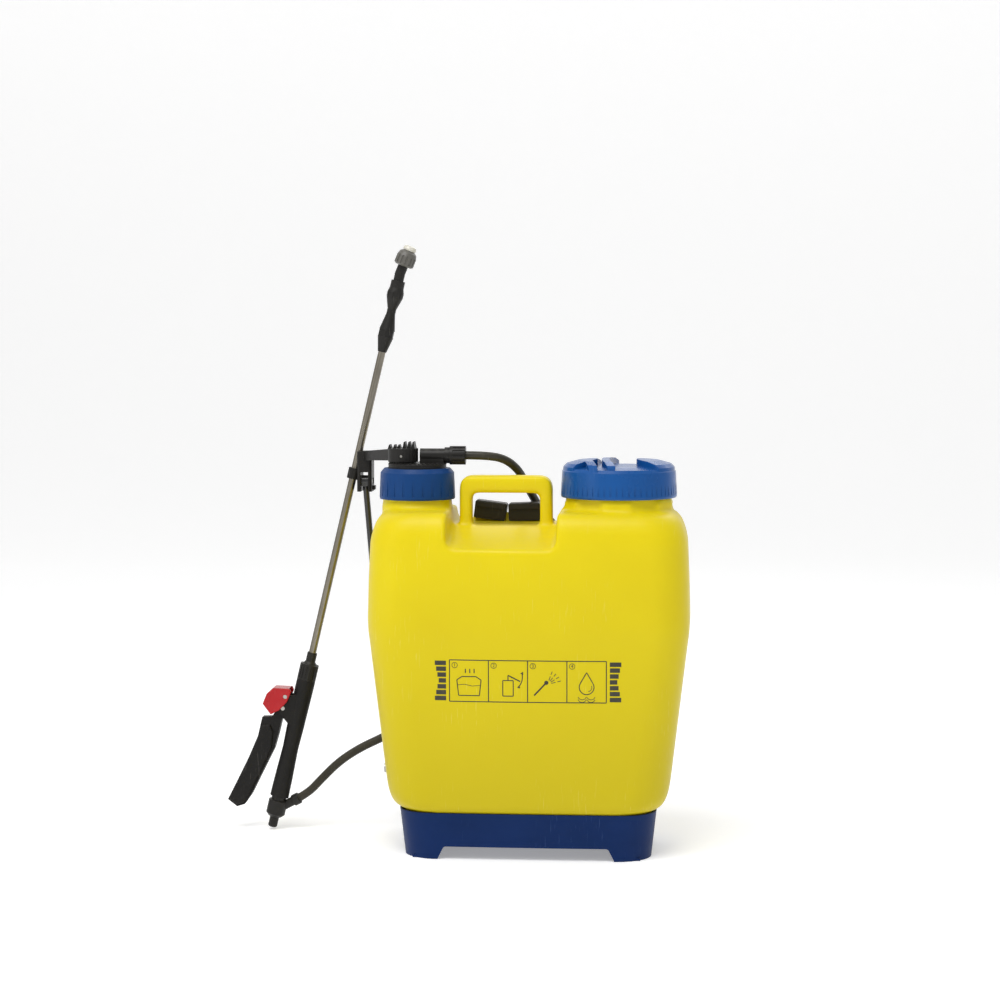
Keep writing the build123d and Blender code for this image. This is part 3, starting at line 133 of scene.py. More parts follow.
def poured(bm, target):
    """Add a bmesh to another one; the first is freed."""
    mesh = bpy.data.meshes.new("poured")
    bm.to_mesh(mesh)
    bm.free()
    target.from_mesh(mesh)
    bpy.data.meshes.remove(mesh)


def merged_copy(node):
    """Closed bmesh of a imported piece, whose triangles come apart."""
    bm = bmesh.new()
    bm.from_mesh(nodes[node].data)
    bmesh.ops.remove_doubles(bm, verts=bm.verts, dist=MERGE)
    return bm


def smoothed(bm, times):
    for _ in range(times):
        bmesh.ops.smooth_vert(bm, verts=bm.verts, factor=0.5, use_axis_x=True, use_axis_y=True,
                              use_axis_z=True)


def rebuilt(piece, voxel):
    """Mesh of a piece, rebuilt as an even grid; the piece itself is removed."""
    remesh = piece.modifiers.new("rebuild", "REMESH")
    remesh.mode = "VOXEL"
    remesh.voxel_size = voxel
    return baked(piece)


def dress(piece, material):
    piece.data.materials.clear()
    piece.data.materials.append(material)


# %% [markdown]
# ## Floor and light
# A white sweep curves up behind the sprayer, so no horizon shows; it glows a little, to stay white.
# One wide soft light hangs above, in front and to the left. Two weaker ones lift the left side and
# the back edge, and the white surroundings do the rest.

# %% Floor and light
SWEEP_WIDTH = 14.0
SWEEP_NEAR = -6.0
SWEEP_FAR = 3.2
SWEEP_RADIUS = 1.6
SWEEP_HEIGHT = 6.0
SWEEP_STEPS = 24
PAPER_GLOW = 0.30
ROOM_STRENGTH = 0.52
MIDDLE = (0.0, 0.0, 0.25)

bm = bmesh.new()
near = bm.verts.new((-SWEEP_WIDTH / 2, SWEEP_NEAR, 0))
far = bm.verts.new((-SWEEP_WIDTH / 2, SWEEP_FAR, 0))
bm.edges.new((near, far))
bmesh.ops.spin(bm, geom=[far], axis=(1, 0, 0), cent=(0, SWEEP_FAR, SWEEP_RADIUS), angle=math.pi / 2,
               steps=SWEEP_STEPS)
bm.verts.ensure_lookup_table()
last = max(bm.verts, key=lambda v: v.co.z)
lifted = bmesh.ops.extrude_vert_indiv(bm, verts=[last])["verts"]
bmesh.ops.translate(bm, verts=lifted, vec=(0, 0, SWEEP_HEIGHT))
swept = bmesh.ops.extrude_edge_only(bm, edges=bm.edges[:])["geom"]
swept_verts = [v for v in swept if isinstance(v, bmesh.types.BMVert)]
bmesh.ops.translate(bm, verts=swept_verts, vec=(SWEEP_WIDTH, 0, 0))
bmesh.ops.recalc_face_normals(bm, faces=bm.faces)
sweep = to_object(bm, "white_sweep", 60)

paper = bpy.data.materials.new("white_paper")
paper.use_nodes = True
tree = paper.node_tree
shader = tree.nodes["Principled BSDF"]
fibres = tree.nodes.new("ShaderNodeTexNoise")
fibres.inputs["Scale"].default_value = 3.0
tones = tree.nodes.new("ShaderNodeMapRange")
tones.inputs["To Min"].default_value = 0.90
tones.inputs["To Max"].default_value = 0.93
tree.links.new(fibres.outputs[0], tones.inputs["Value"])
tree.links.new(tones.outputs["Result"], shader.inputs["Base Color"])
shader.inputs["Roughness"].default_value = 0.9
shader.inputs["Specular IOR Level"].default_value = 0.1
shader.inputs["Emission Color"].default_value = (1.0, 1.0, 1.0, 1.0)
shader.inputs["Emission Strength"].default_value = PAPER_GLOW
sweep.data.materials.append(paper)

world = bpy.data.worlds.new("white_room")
world.use_nodes = True
world.node_tree.nodes["Background"].inputs["Color"].default_value = (1.0, 1.0, 1.0, 1.0)
world.node_tree.nodes["Background"].inputs["Strength"].default_value = ROOM_STRENGTH
scene.world = world


def soft_light(name, place, target, size, power):
    data = bpy.data.lights.new(name, "AREA")
    data.shape = "RECTANGLE"
    data.size, data.size_y = size
    data.energy = power
    light = bpy.data.objects.new(name, data)
    light.location = place
    light.rotation_euler = (Vector(target) - Vector(place)).to_track_quat("-Z", "Y").to_euler()
    scene.collection.objects.link(light)


soft_light("overhead", (-0.5, -1.1, 2.4), MIDDLE, (1.6, 1.2), 36)
soft_light("left_fill", (-2.2, -1.6, 1.0), MIDDLE, (1.2, 1.8), 4)
soft_light("back_rim", (0.6, 1.9, 1.9), MIDDLE, (1.6, 1.0), 8)

# %% [markdown]
# ## The hose
# A rubber hose is a fixed length of something flexible. Its line is one smooth NURBS curve through
# the middle of the route: out of the pump's spigot, down behind the carrying handle, in a wide loop
# across the back and out to the left, where it drops to the handle's elbow. The tube is made from
# that same curve, as a mesh between the tank and the yoke that moves on the pump rod.

# %% Hose
HOSE_RADIUS = 0.005
HOSE_ROUTE = [
    (-0.0765, 0, 0.464), (-0.0515, 0, 0.464), (-0.031, 0.011, 0.4595), (-0.017, 0.031, 0.446),
    (-0.011, 0.054, 0.430), (-0.004, 0.077, 0.413), (0.005, 0.094, 0.3945), (0.023, 0.104, 0.372),
    (0.047, 0.107, 0.343), (0.078, 0.102, 0.306), (0.104, 0.098, 0.262), (0.119, 0.095, 0.214),
    (0.116, 0.095, 0.170), (0.090, 0.095, 0.138), (0.048, 0.095, 0.123), (0.002, 0.095, 0.120),
    (-0.043, 0.095, 0.120), (-0.088, 0.096, 0.127), (-0.130, 0.096, 0.133), (-0.162, 0.095, 0.127),
    (-0.188, 0.093, 0.1125), (-0.215, 0.091, 0.100), (-0.241, 0.088, 0.083), (-0.262, 0.0845, 0.062),
    (-0.2779, 0.080, 0.0449), (-0.2938, 0.080, 0.0365)]

hose_curve = bpy.data.curves.new("hose_line", "CURVE")
hose_curve.dimensions = "3D"
hose_curve.resolution_u = CURVE_STEPS
spline = hose_curve.splines.new("NURBS")
spline.points.add(len(HOSE_ROUTE) - 1)
for point, place in zip(spline.points, HOSE_ROUTE):
    point.co = (*place, 1.0)
spline.order_u = 3
spline.use_endpoint_u = True
hose_line = bpy.data.objects.new("hose_line", hose_curve)
scene.collection.objects.link(hose_line)

depsgraph = bpy.context.evaluated_depsgraph_get()
line_mesh = bpy.data.meshes.new_from_object(hose_line.evaluated_get(depsgraph))
bpy.data.meshes.remove(line_mesh)

hose_curve.bevel_depth = HOSE_RADIUS
hose_curve.bevel_resolution = 5
hose_curve.use_fill_caps = True
bpy.context.view_layer.update()
bm = taken_bmesh(baked(hose_line))
bmesh.ops.remove_doubles(bm, verts=bm.verts, dist=MERGE)
bmesh.ops.recalc_face_normals(bm, faces=bm.faces)
hose = to_object(bm, "delivery_hose")
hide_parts("hose_upper", "hose_lower")
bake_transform(hose)

# %% [markdown]
# ## Effects that several finishes share
# Each effect is a node group with its own inputs and outputs, built once. A group gives masks and
# heights only; the shader itself stays in each material.


# %% Helpers for node trees
def add(tree, kind, **values):
    """New node, with values for its sockets or its settings."""
    node = tree.nodes.new("ShaderNode" + kind)
    for key, value in values.items():
        key = key.replace("_", " ") if key.replace("_", " ") in node.inputs else key
        if key in node.inputs:
            node.inputs[key].default_value = value
        else:
            setattr(node, key, value)
    return node


def sum_of(tree, operation, first, second):
    """Math node on two values, each a socket or a number."""
    node = add(tree, "Math", operation=operation)
    for slot, value in zip(node.inputs, (first, second)):
        if isinstance(value, bpy.types.NodeSocket):
            tree.links.new(value, slot)
        else:
            slot.default_value = value
    return node.outputs[0]


def spread(tree, value, low, high, to_low=0.0, to_high=1.0):
    """Map a range of a value to another range, clamped."""
    node = add(tree, "MapRange", From_Min=low, From_Max=high, To_Min=to_low, To_Max=to_high)
    tree.links.new(value, node.inputs["Value"])
    return node.outputs["Result"]


def new_group(name, inputs, outputs):
    group = bpy.data.node_groups.new(name, "ShaderNodeTree")
    for label, value in inputs.items():
        socket = group.interface.new_socket(label, in_out="INPUT", socket_type="NodeSocketFloat")
        socket.default_value = value
    for label in outputs:
        group.interface.new_socket(label, in_out="OUTPUT", socket_type="NodeSocketFloat")
    return group, group.nodes.new("NodeGroupInput"), group.nodes.new("NodeGroupOutput")


def along(tree, axis):
    """One of the object coordinates."""
    place = add(tree, "TexCoord")
    split = add(tree, "SeparateXYZ")
    tree.links.new(place.outputs["Object"], split.inputs[0])
    return split.outputs[axis]


def flat_map(tree):
    """The two coordinates of the UV map, in metres."""
    place = add(tree, "UVMap")
    split = add(tree, "SeparateXYZ")
    tree.links.new(place.outputs[0], split.inputs[0])
    return split.outputs


def one_of(tree, operation, value):
    """Math node on a single value."""
    return sum_of(tree, operation, value, 0.0)


def stretched_coordinates(tree, scale=(1, 1, 1), turn=(0, 0, 0)):
    """Object coordinates, stretched and turned."""
    place = add(tree, "TexCoord")
    mapping = add(tree, "Mapping", Scale=scale, Rotation=turn)
    tree.links.new(place.outputs["Object"], mapping.inputs["Vector"])
    return mapping.outputs["Vector"]


# %% [markdown]
# Moulded plastic is never one colour: pigment and wall thickness vary in soft clouds. The mottle
# group gives that cloud. The grain group is the fine spark-eroded texture of a mould, as a height.

# %% Mottle and grain
mottle, taken, given = new_group("mottle", {"Scale": 20.0, "Contrast": 1.0}, ["Mask"])
cloud = add(mottle, "TexNoise", Detail=4.0, Roughness=0.55)
mottle.links.new(stretched_coordinates(mottle), cloud.inputs["Vector"])
mottle.links.new(taken.outputs["Scale"], cloud.inputs["Scale"])
centred = sum_of(mottle, "SUBTRACT", cloud.outputs[0], 0.5)
widened = sum_of(mottle, "MULTIPLY", centred, taken.outputs["Contrast"])
mottle.links.new(spread(mottle, widened, -0.25, 0.25), given.inputs["Mask"])

grain, taken, given = new_group("mould_grain", {"Scale": 900.0}, ["Height"])
pits = add(grain, "TexVoronoi", feature="SMOOTH_F1", Smoothness=0.6)
fine = add(grain, "TexNoise", Detail=2.0)
half_scale = sum_of(grain, "MULTIPLY", taken.outputs["Scale"], 0.45)
for texture, size in ((pits, taken.outputs["Scale"]), (fine, half_scale)):
    grain.links.new(stretched_coordinates(grain), texture.inputs["Vector"])
    grain.links.new(size, texture.inputs["Scale"])
grain.links.new(sum_of(grain, "ADD", pits.outputs["Distance"], fine.outputs[0]), given.inputs["Height"])
print("groups", [g.name for g in bpy.data.node_groups])

# %% [markdown]
# A used tool carries scratches and dust. Scratches are long thin marks in a few directions, which
# only show in patches where the tool was rubbed. Dust lies on faces that look up.

# %% Scuffs and dust
scuffs, taken, given = new_group("scuffs", {"Scale": 30.0, "Amount": 0.5}, ["Mask"])
marks = None
for turn, stretch in ((0.4, 14.0), (1.9, 18.0)):
    line = add(scuffs, "TexNoise", Detail=2.0, Roughness=0.6)
    across = stretched_coordinates(scuffs, (stretch, 1.0, 1.0), (0.3, turn, 0.9))
    scuffs.links.new(across, line.inputs["Vector"])
    scuffs.links.new(taken.outputs["Scale"], line.inputs["Scale"])
    thin = spread(scuffs, line.outputs[0], 0.66, 0.72)
    marks = thin if marks is None else sum_of(scuffs, "MAXIMUM", marks, thin)
patch = add(scuffs, "TexNoise", Scale=11.0, Detail=1.0)
scuffs.links.new(stretched_coordinates(scuffs), patch.inputs["Vector"])
rubbed = sum_of(scuffs, "MULTIPLY", marks, spread(scuffs, patch.outputs[0], 0.48, 0.62))
scuffs.links.new(sum_of(scuffs, "MULTIPLY", rubbed, taken.outputs["Amount"]), given.inputs["Mask"])

dust, taken, given = new_group("dust", {"Amount": 0.3}, ["Mask"])
facing = add(dust, "NewGeometry")
split = add(dust, "SeparateXYZ")
dust.links.new(facing.outputs["Normal"], split.inputs[0])
specks = add(dust, "TexNoise", Scale=160.0, Detail=6.0, Roughness=0.7)
dust.links.new(stretched_coordinates(dust), specks.inputs["Vector"])
lying = sum_of(dust, "MULTIPLY", spread(dust, split.outputs["Z"], 0.35, 1.0),
               spread(dust, specks.outputs[0], 0.4, 0.65))
dust.links.new(sum_of(dust, "MULTIPLY", lying, taken.outputs["Amount"]), given.inputs["Mask"])
print("groups", [g.name for g in bpy.data.node_groups])

# %% [markdown]
# Webbing and pad covers are woven. The weave group reads the piece's own UV map, in metres across
# and along the strap, and lays over-and-under threads: warp and weft take turns in a chequer. The
# stitches group draws a dashed seam at a given distance from the strap's middle.

# %% Weave
weave, taken, given = new_group("weave", {"Pitch": 0.002}, ["Height"])
flat_place = flat_map(weave)
threads = []
steps = []
for axis in ("X", "Y"):
    turns = sum_of(weave, "DIVIDE", flat_place[axis], taken.outputs["Pitch"])
    steps.append(one_of(weave, "FLOOR", turns))
    wave = one_of(weave, "SINE", sum_of(weave, "MULTIPLY", turns, math.pi))
    threads.append(one_of(weave, "ABSOLUTE", wave))
chequer = sum_of(weave, "PINGPONG", sum_of(weave, "ADD", *steps), 1.0)
over = sum_of(weave, "MULTIPLY", threads[0], chequer)
under = sum_of(weave, "MULTIPLY", threads[1], sum_of(weave, "SUBTRACT", 1.0, chequer))
weave.links.new(sum_of(weave, "ADD", over, under), given.inputs["Height"])

STITCH_PITCH = 0.0042
STITCH_HALF = 0.00045

stitches, taken, given = new_group("stitches", {"Offset": 0.02}, ["Mask"])
flat_place = flat_map(stitches)
from_middle = one_of(stitches, "ABSOLUTE", flat_place["X"])
off_line = one_of(stitches, "ABSOLUTE", sum_of(stitches, "SUBTRACT", from_middle, taken.outputs["Offset"]))
on_line = spread(stitches, off_line, STITCH_HALF, 1.4 * STITCH_HALF, 1.0, 0.0)
wave = one_of(stitches, "SINE", sum_of(stitches, "MULTIPLY", flat_place["Y"], 2 * math.pi / STITCH_PITCH))
dashes = sum_of(stitches, "MULTIPLY", on_line, spread(stitches, wave, -0.4, -0.2))
stitches.links.new(dashes, given.inputs["Mask"])
print("weave and stitches ready")

# %% [markdown]
# ## Finishes
# One function makes every moulded or drawn finish: two tones mixed by the mottle, scratches that
# show a lighter tone and roughen the surface, dust on top, a grain in the normal, and edges that
# catch the light as if they had a small round. What differs from material to material is given by
# name, so each line below reads like a maker's note.


# %% One builder for the hard finishes
def use_group(tree, group, **values):
    node = tree.nodes.new("ShaderNodeGroup")
    node.node_tree = group
    for key, value in values.items():
        node.inputs[key].default_value = value
    return node


def mixed(tree, share, first, second):
    """Colour between two colours, each a socket or three numbers."""
    node = add(tree, "Mix", data_type="RGBA")
    tree.links.new(share, node.inputs["Factor"])
    for slot, value in ((node.inputs[6], first), (node.inputs[7], second)):
        if isinstance(value, bpy.types.NodeSocket):
            tree.links.new(value, slot)
        else:
            slot.default_value = (*value, 1.0)
    return node.outputs[2]


EDGE_ROUND = 0.0007

finishes = {}


def new_finish(name):
    """Material with nodes, kept under the name of its slot."""
    material = bpy.data.materials.new(name + "_finish")
    material.use_nodes = True
    finishes[name] = material
    return material


DUST_TONE = (0.42, 0.39, 0.34)
LINT_TONE = (0.30, 0.28, 0.24)
THREAD_TONE = (0.20, 0.19, 0.17)


def hard_finish(name, tone, tone_two, rough, mottling=18.0, worn=None, scuffed=0.5, dusty=0.15,
                grain_scale=900.0, grain_depth=0.00004, extra_height=None, painted_foot_shade=None, **shader_values):
    material = new_finish(name)
    tree = material.node_tree
    shader = tree.nodes["Principled BSDF"]
    clouds = use_group(tree, mottle, Scale=mottling, Contrast=1.2)
    marks = use_group(tree, scuffs, Scale=34.0, Amount=scuffed)
    dirt = use_group(tree, dust, Amount=dusty)
    colour = mixed(tree, clouds.outputs["Mask"], tone, tone_two)
    # Painted shade: from Z high down to Z low the colour is mixed towards a darker copy of the tone, by
    # share.
    if painted_foot_shade:
        low, high, share = painted_foot_shade
        depth = spread(tree, along(tree, "Z"), high, low)
        colour = mixed(tree, depth, colour, tuple(share * c for c in tone))
    paler = worn or tuple(min(1.0, 1.5 * c + 0.03) for c in tone)
    colour = mixed(tree, marks.outputs["Mask"], colour, paler)
    colour = mixed(tree, dirt.outputs["Mask"], colour, DUST_TONE)
    tree.links.new(colour, shader.inputs["Base Color"])
    dullness = sum_of(tree, "ADD", marks.outputs["Mask"], dirt.outputs["Mask"])
    roughness = sum_of(tree, "ADD", spread(tree, clouds.outputs["Mask"], 0, 1, rough - 0.04, rough + 0.04),
                       sum_of(tree, "MULTIPLY", dullness, 0.3))
    tree.links.new(roughness, shader.inputs["Roughness"])
    texture = use_group(tree, grain, Scale=grain_scale)
    height = texture.outputs["Height"]
    if extra_height is not None:
        height = sum_of(tree, "ADD", height, extra_height(tree))
    bump = add(tree, "Bump", Strength=1.0, Distance=grain_depth)
    tree.links.new(height, bump.inputs["Height"])
    rounded = add(tree, "Bevel", samples=4, Radius=EDGE_ROUND)
    tree.links.new(rounded.outputs["Normal"], bump.inputs["Normal"])
    tree.links.new(bump.outputs["Normal"], shader.inputs["Normal"])
    for key, value in shader_values.items():
        shader.inputs[key.replace("_", " ")].default_value = value
    return material


# %% [markdown]
# ### Tank yellow
# The tank is blown polyethylene: waxy, a little translucent, with a faint orange-peel skin, with painted
# shade that darkens it towards its foot, and with a parting line where the two mould halves met.

# %% Tank yellow
PARTING_HALF = 0.0009


def parting_line(tree):
    """Height of the seam of the two mould halves, where Y is zero."""
    off = one_of(tree, "ABSOLUTE", along(tree, "Y"))
    return spread(tree, off, 0.0, PARTING_HALF, 6.0, 0.0)


# The last tuple is painted shade: the yellow darkens to 0.72 of its tone from Z 0.40 m down to 0.08 m.
tank_yellow = hard_finish(
    "tank_yellow", (0.80, 0.65, 0.004), (0.74, 0.585, 0.003), 0.38, mottling=7.0, worn=(0.86, 0.78, 0.22),
    scuffed=0.22, dusty=0.05, grain_scale=260.0, grain_depth=0.00005, extra_height=parting_line,
    painted_foot_shade=(0.08, 0.40, 0.72), Specular_IOR_Level=0.22,
    Subsurface_Weight=0.12, Subsurface_Radius=(0.012, 0.008, 0.002), Subsurface_Scale=0.6)
print("made", tank_yellow.name)

# %% [markdown]
# ### Blue plastics
# The base has a dull, fine-grained blue. The pump's cap is brighter and satin, and the filling lid
# is the glossiest of the three.

# %% Blues
base_navy = hard_finish(
    "base_navy", (0.003, 0.022, 0.108), (0.002, 0.018, 0.088), 0.44, worn=(0.03, 0.06, 0.18), scuffed=0.6,
    dusty=0.12, grain_scale=1100.0, grain_depth=0.00006, Specular_IOR_Level=0.12)
cap_blue = hard_finish(
    "cap_blue", (0.006, 0.050, 0.188), (0.005, 0.042, 0.158), 0.36, worn=(0.04, 0.11, 0.28), scuffed=0.5,
    dusty=0.06, grain_scale=900.0, Specular_IOR_Level=0.16)
lid_blue = hard_finish(
    "lid_blue", (0.006, 0.088, 0.32), (0.005, 0.072, 0.27), 0.26, worn=(0.08, 0.20, 0.44), scuffed=0.45,
    dusty=0.03, grain_scale=420.0, grain_depth=0.00002, Specular_IOR_Level=0.22, Coat_Weight=0.12,
    Coat_Roughness=0.14)
print("made", base_navy.name, cap_blue.name, lid_blue.name)

# %% [markdown]
# ### Blacks, greys and small plastics
# Nylon fittings are satin black with greyer scratches. The pump's inner tubes are milky, the
# safety catch is bright red, and the grips have a coarse stipple that the hand can hold.

# %% Blacks and small plastics
hard_finish(
    "black_plastic", (0.011, 0.010, 0.009), (0.018, 0.017, 0.015), 0.40, worn=(0.08, 0.075, 0.07),
    scuffed=0.8, dusty=0.12, grain_scale=1300.0, Specular_IOR_Level=0.25)
hard_finish(
    "grip_black", (0.008, 0.0075, 0.007), (0.014, 0.013, 0.012), 0.56, worn=(0.08, 0.075, 0.07), scuffed=0.7,
    dusty=0.12, grain_scale=620.0, grain_depth=0.00022, Specular_IOR_Level=0.2)
hard_finish(
    "rod_black", (0.010, 0.010, 0.011), (0.016, 0.016, 0.017), 0.34, worn=(0.28, 0.27, 0.26), scuffed=0.9,
    dusty=0.20, grain_scale=500.0, grain_depth=0.00003, Coat_Weight=0.3, Coat_Roughness=0.25)
hard_finish("strainer_black", (0.03, 0.03, 0.03), (0.045, 0.045, 0.043), 0.45, dusty=0.1)
hard_finish(
    "hook_olive", (0.020, 0.018, 0.012), (0.032, 0.028, 0.019), 0.44, worn=(0.14, 0.13, 0.10), scuffed=0.6,
    dusty=0.15, grain_scale=1000.0, Specular_IOR_Level=0.25)
hard_finish(
    "pump_plastic", (0.74, 0.74, 0.69), (0.66, 0.66, 0.60), 0.34, worn=(0.8, 0.8, 0.78), dusty=0.08,
    Subsurface_Weight=0.2, Subsurface_Radius=(0.006, 0.006, 0.005), Subsurface_Scale=0.5)
hard_finish("ball_white", (0.82, 0.82, 0.79), (0.76, 0.76, 0.73), 0.16, grain_depth=0.00001)
hard_finish(
    "lock_red", (0.46, 0.007, 0.012), (0.38, 0.005, 0.009), 0.26, worn=(0.62, 0.16, 0.14), scuffed=0.5,
    dusty=0.08, grain_scale=500.0, grain_depth=0.00002, Specular_IOR_Level=0.25, Coat_Weight=0.15,
    Coat_Roughness=0.15)
hard_finish(
    "nozzle_grey", (0.095, 0.090, 0.078), (0.14, 0.135, 0.12), 0.40, worn=(0.33, 0.32, 0.30), scuffed=0.7,
    dusty=0.30, grain_scale=800.0)
hard_finish(
    "tip_white", (0.66, 0.64, 0.56), (0.58, 0.56, 0.48), 0.30, worn=(0.8, 0.79, 0.75), dusty=0.2,
    Subsurface_Weight=0.15, Subsurface_Radius=(0.003, 0.003, 0.002), Subsurface_Scale=0.4)
hard_finish("seal_rubber", (0.018, 0.018, 0.018), (0.028, 0.028, 0.027), 0.62, dusty=0.1)
print("finishes so far", len(bpy.data.materials))

# %% [markdown]
# ### Metals
# The lance is drawn stainless tube. Drawing leaves fine lines along it, so its bump is stretched
# along the tube's own direction, which leans from upright by a known angle.

# %% Metals
LANCE_LEAN = math.radians(13.3)


def drawn_lines(turn):
    """Height of fine lines that run along Z once turned about Y."""
    def height(tree):
        lines = add(tree, "TexNoise", Scale=1.0, Detail=3.0)
        drawn = stretched_coordinates(tree, (2600.0, 2600.0, 14.0), (0, turn, 0))
        tree.links.new(drawn, lines.inputs["Vector"])
        return sum_of(tree, "MULTIPLY", lines.outputs[0], 2.0)
    return height


lance_steel = hard_finish(
    "lance_steel", (0.30, 0.275, 0.225), (0.22, 0.20, 0.165), 0.30, mottling=26.0, worn=(0.62, 0.60, 0.56),
    scuffed=0.6, dusty=0.2, grain_scale=400.0, grain_depth=0.00002, extra_height=drawn_lines(-LANCE_LEAN),
    Metallic=1.0)
rod_steel = hard_finish(
    "rod_steel", (0.60, 0.60, 0.58), (0.52, 0.52, 0.50), 0.22, worn=(0.70, 0.70, 0.68), scuffed=0.6,
    dusty=0.2, grain_scale=400.0, grain_depth=0.00001, extra_height=drawn_lines(math.pi / 2), Metallic=1.0)
screw_steel = hard_finish(
    "screw_steel", (0.54, 0.54, 0.52), (0.44, 0.42, 0.37), 0.33, mottling=120.0, worn=(0.70, 0.70, 0.68),
    dusty=0.2, grain_scale=1500.0, grain_depth=0.00002, Metallic=1.0)
print("metals", lance_steel.name, rod_steel.name, screw_steel.name)

# %% [markdown]
# ### Hose rubber
# Extruded hose has faint lines along its length, which would need coordinates that follow every
# bend. A soft mottle, handling marks and dust on its upper side carry the look instead.

# %% Hose rubber
hose_rubber = hard_finish(
    "hose_rubber", (0.026, 0.023, 0.015), (0.042, 0.037, 0.025), 0.42, mottling=60.0, worn=(0.16, 0.15, 0.12),
    scuffed=0.8, dusty=0.15, grain_scale=700.0, grain_depth=0.00005, Specular_IOR_Level=0.3)
dress(hose, hose_rubber)
print("hose finished")

# %% [markdown]
# ### Woven finishes
# Webbing and the pads' covers share one recipe and differ in pitch and depth; the low parts of the weave,
# between the threads, carry painted shade. Sheen gives the soft light edge of a fibrous surface.


# %% Woven finishes
def woven_finish(name, tone, tone_two, pitch, depth, rough, seam_at=None):
    material = new_finish(name)
    tree = material.node_tree
    shader = tree.nodes["Principled BSDF"]
    cloth = use_group(tree, weave, Pitch=pitch)
    clouds = use_group(tree, mottle, Scale=45.0, Contrast=1.3)
    dirt = use_group(tree, dust, Amount=0.4)
    share = spread(tree, cloth.outputs["Height"], 0.0, 1.0)
    # Painted shade: the low parts of the weave, between the threads, are darkened to 0.45 of the tone.
    colour = mixed(tree, share, tuple(0.45 * c for c in tone), tone)
    colour = mixed(tree, sum_of(tree, "MULTIPLY", clouds.outputs["Mask"], 0.6), colour, tone_two)
    colour = mixed(tree, dirt.outputs["Mask"], colour, LINT_TONE)
    if seam_at:
        seam = use_group(tree, stitches, Offset=seam_at)
        colour = mixed(tree, seam.outputs["Mask"], colour, THREAD_TONE)
    tree.links.new(colour, shader.inputs["Base Color"])
    tree.links.new(spread(tree, share, 0, 1, rough + 0.1, rough - 0.05), shader.inputs["Roughness"])
    bump = add(tree, "Bump", Strength=1.0, Distance=depth)
    tree.links.new(cloth.outputs["Height"], bump.inputs["Height"])
    tree.links.new(bump.outputs["Normal"], shader.inputs["Normal"])
    shader.inputs["Sheen Weight"].default_value = 0.3
    shader.inputs["Sheen Roughness"].default_value = 0.4
    return material


webbing = woven_finish("webbing", (0.030, 0.030, 0.034), (0.048, 0.046, 0.046), 0.0016, 0.00035, 0.55)
pad_fabric = woven_finish("pad_fabric", (0.036, 0.036, 0.041), (0.052, 0.050, 0.050), 0.0011, 0.00022, 0.72,
                          seam_at=0.0185)
print("woven", webbing.name, pad_fabric.name)

# %% [markdown]
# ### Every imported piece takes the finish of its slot
# The record names a material slot for every node. Each finish above carries its slot's name, so a
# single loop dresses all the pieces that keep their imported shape.

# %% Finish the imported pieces
slot_of = {part["node"]: part["material_slot"] for part in frame["record"]["subparts"]}
for name, node in nodes.items():
    if slot_of[name] in finishes:
        dress(node, finishes[slot_of[name]])
print("dressed", sum(slot_of[name] in finishes for name in nodes), "of", len(nodes), "pieces")

# %% [markdown]
# ## The tank's skin
# Blow moulding leaves no sharp edge: the hot plastic is pressed into the mould by air, and every
# corner comes out round and soft. Rounding such edges one by one is slow, so the skin is made from
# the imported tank's outside instead: the outer shell is closed, joined to the carrying handle,
# rebuilt as an even grid of small quads, and smoothed, which rounds all edges alike. Last, the two
# necks are bored open again. The first step takes the rims off the necks, so that the outer shell
# can be told from the inner one, and closes it again.

# %% Outer shell of the tank
VOXEL = 0.0026
SMOOTHINGS = 7
NECK_WALL = 0.003
HANDLE_ROOT = 0.003
BORE_FLOOR = 0.378
BORE_PAST = 0.01
BORE_SIDES = 96
LEVEL = 1e-4

neck_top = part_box("tank")[1].z

shell = merged_copy("tank")
rims = [f for f in shell.faces if abs(f.normal.z) > 0.99 and f.calc_center_median().z > neck_top - LEVEL]
bmesh.ops.delete(shell, geom=rims, context="FACES")
start = max(shell.faces, key=lambda f: f.calc_center_median().x)
outside = {start}
waiting = [start]
while waiting:
    for edge in waiting.pop().edges:
        for face in edge.link_faces:
            if face not in outside:
                outside.add(face)
                waiting.append(face)
bmesh.ops.delete(shell, geom=[f for f in shell.faces if f not in outside], context="FACES")
bmesh.ops.holes_fill(shell, edges=[e for e in shell.edges if e.is_boundary], sides=0)
print("outer shell", len(shell.faces), "faces, open edges", sum(e.is_boundary for e in shell.edges))

# %% [markdown]
# The handle's feet are set a little deeper, so that both shapes overlap and come out as one skin.

# %% Join the handle and rebuild the surface
loop = merged_copy("carry_handle")
foot = min(v.co.z for v in loop.verts)
for vertex in loop.verts:
    if vertex.co.z < foot + LEVEL:
        vertex.co.z -= HANDLE_ROOT
poured(loop, shell)
bm = taken_bmesh(rebuilt(to_object(shell, "skin_source"), VOXEL))
smoothed(bm, SMOOTHINGS)
print("skin", len(bm.verts), "points")

# %% [markdown]
# Each neck is bored with a drill that leaves its wall standing and stops a little below the tank's
# top.

# %% Bore the necks
PUMP_NECK = (-0.1335, 0.0405)
FILL_NECK = (0.1035, 0.062)

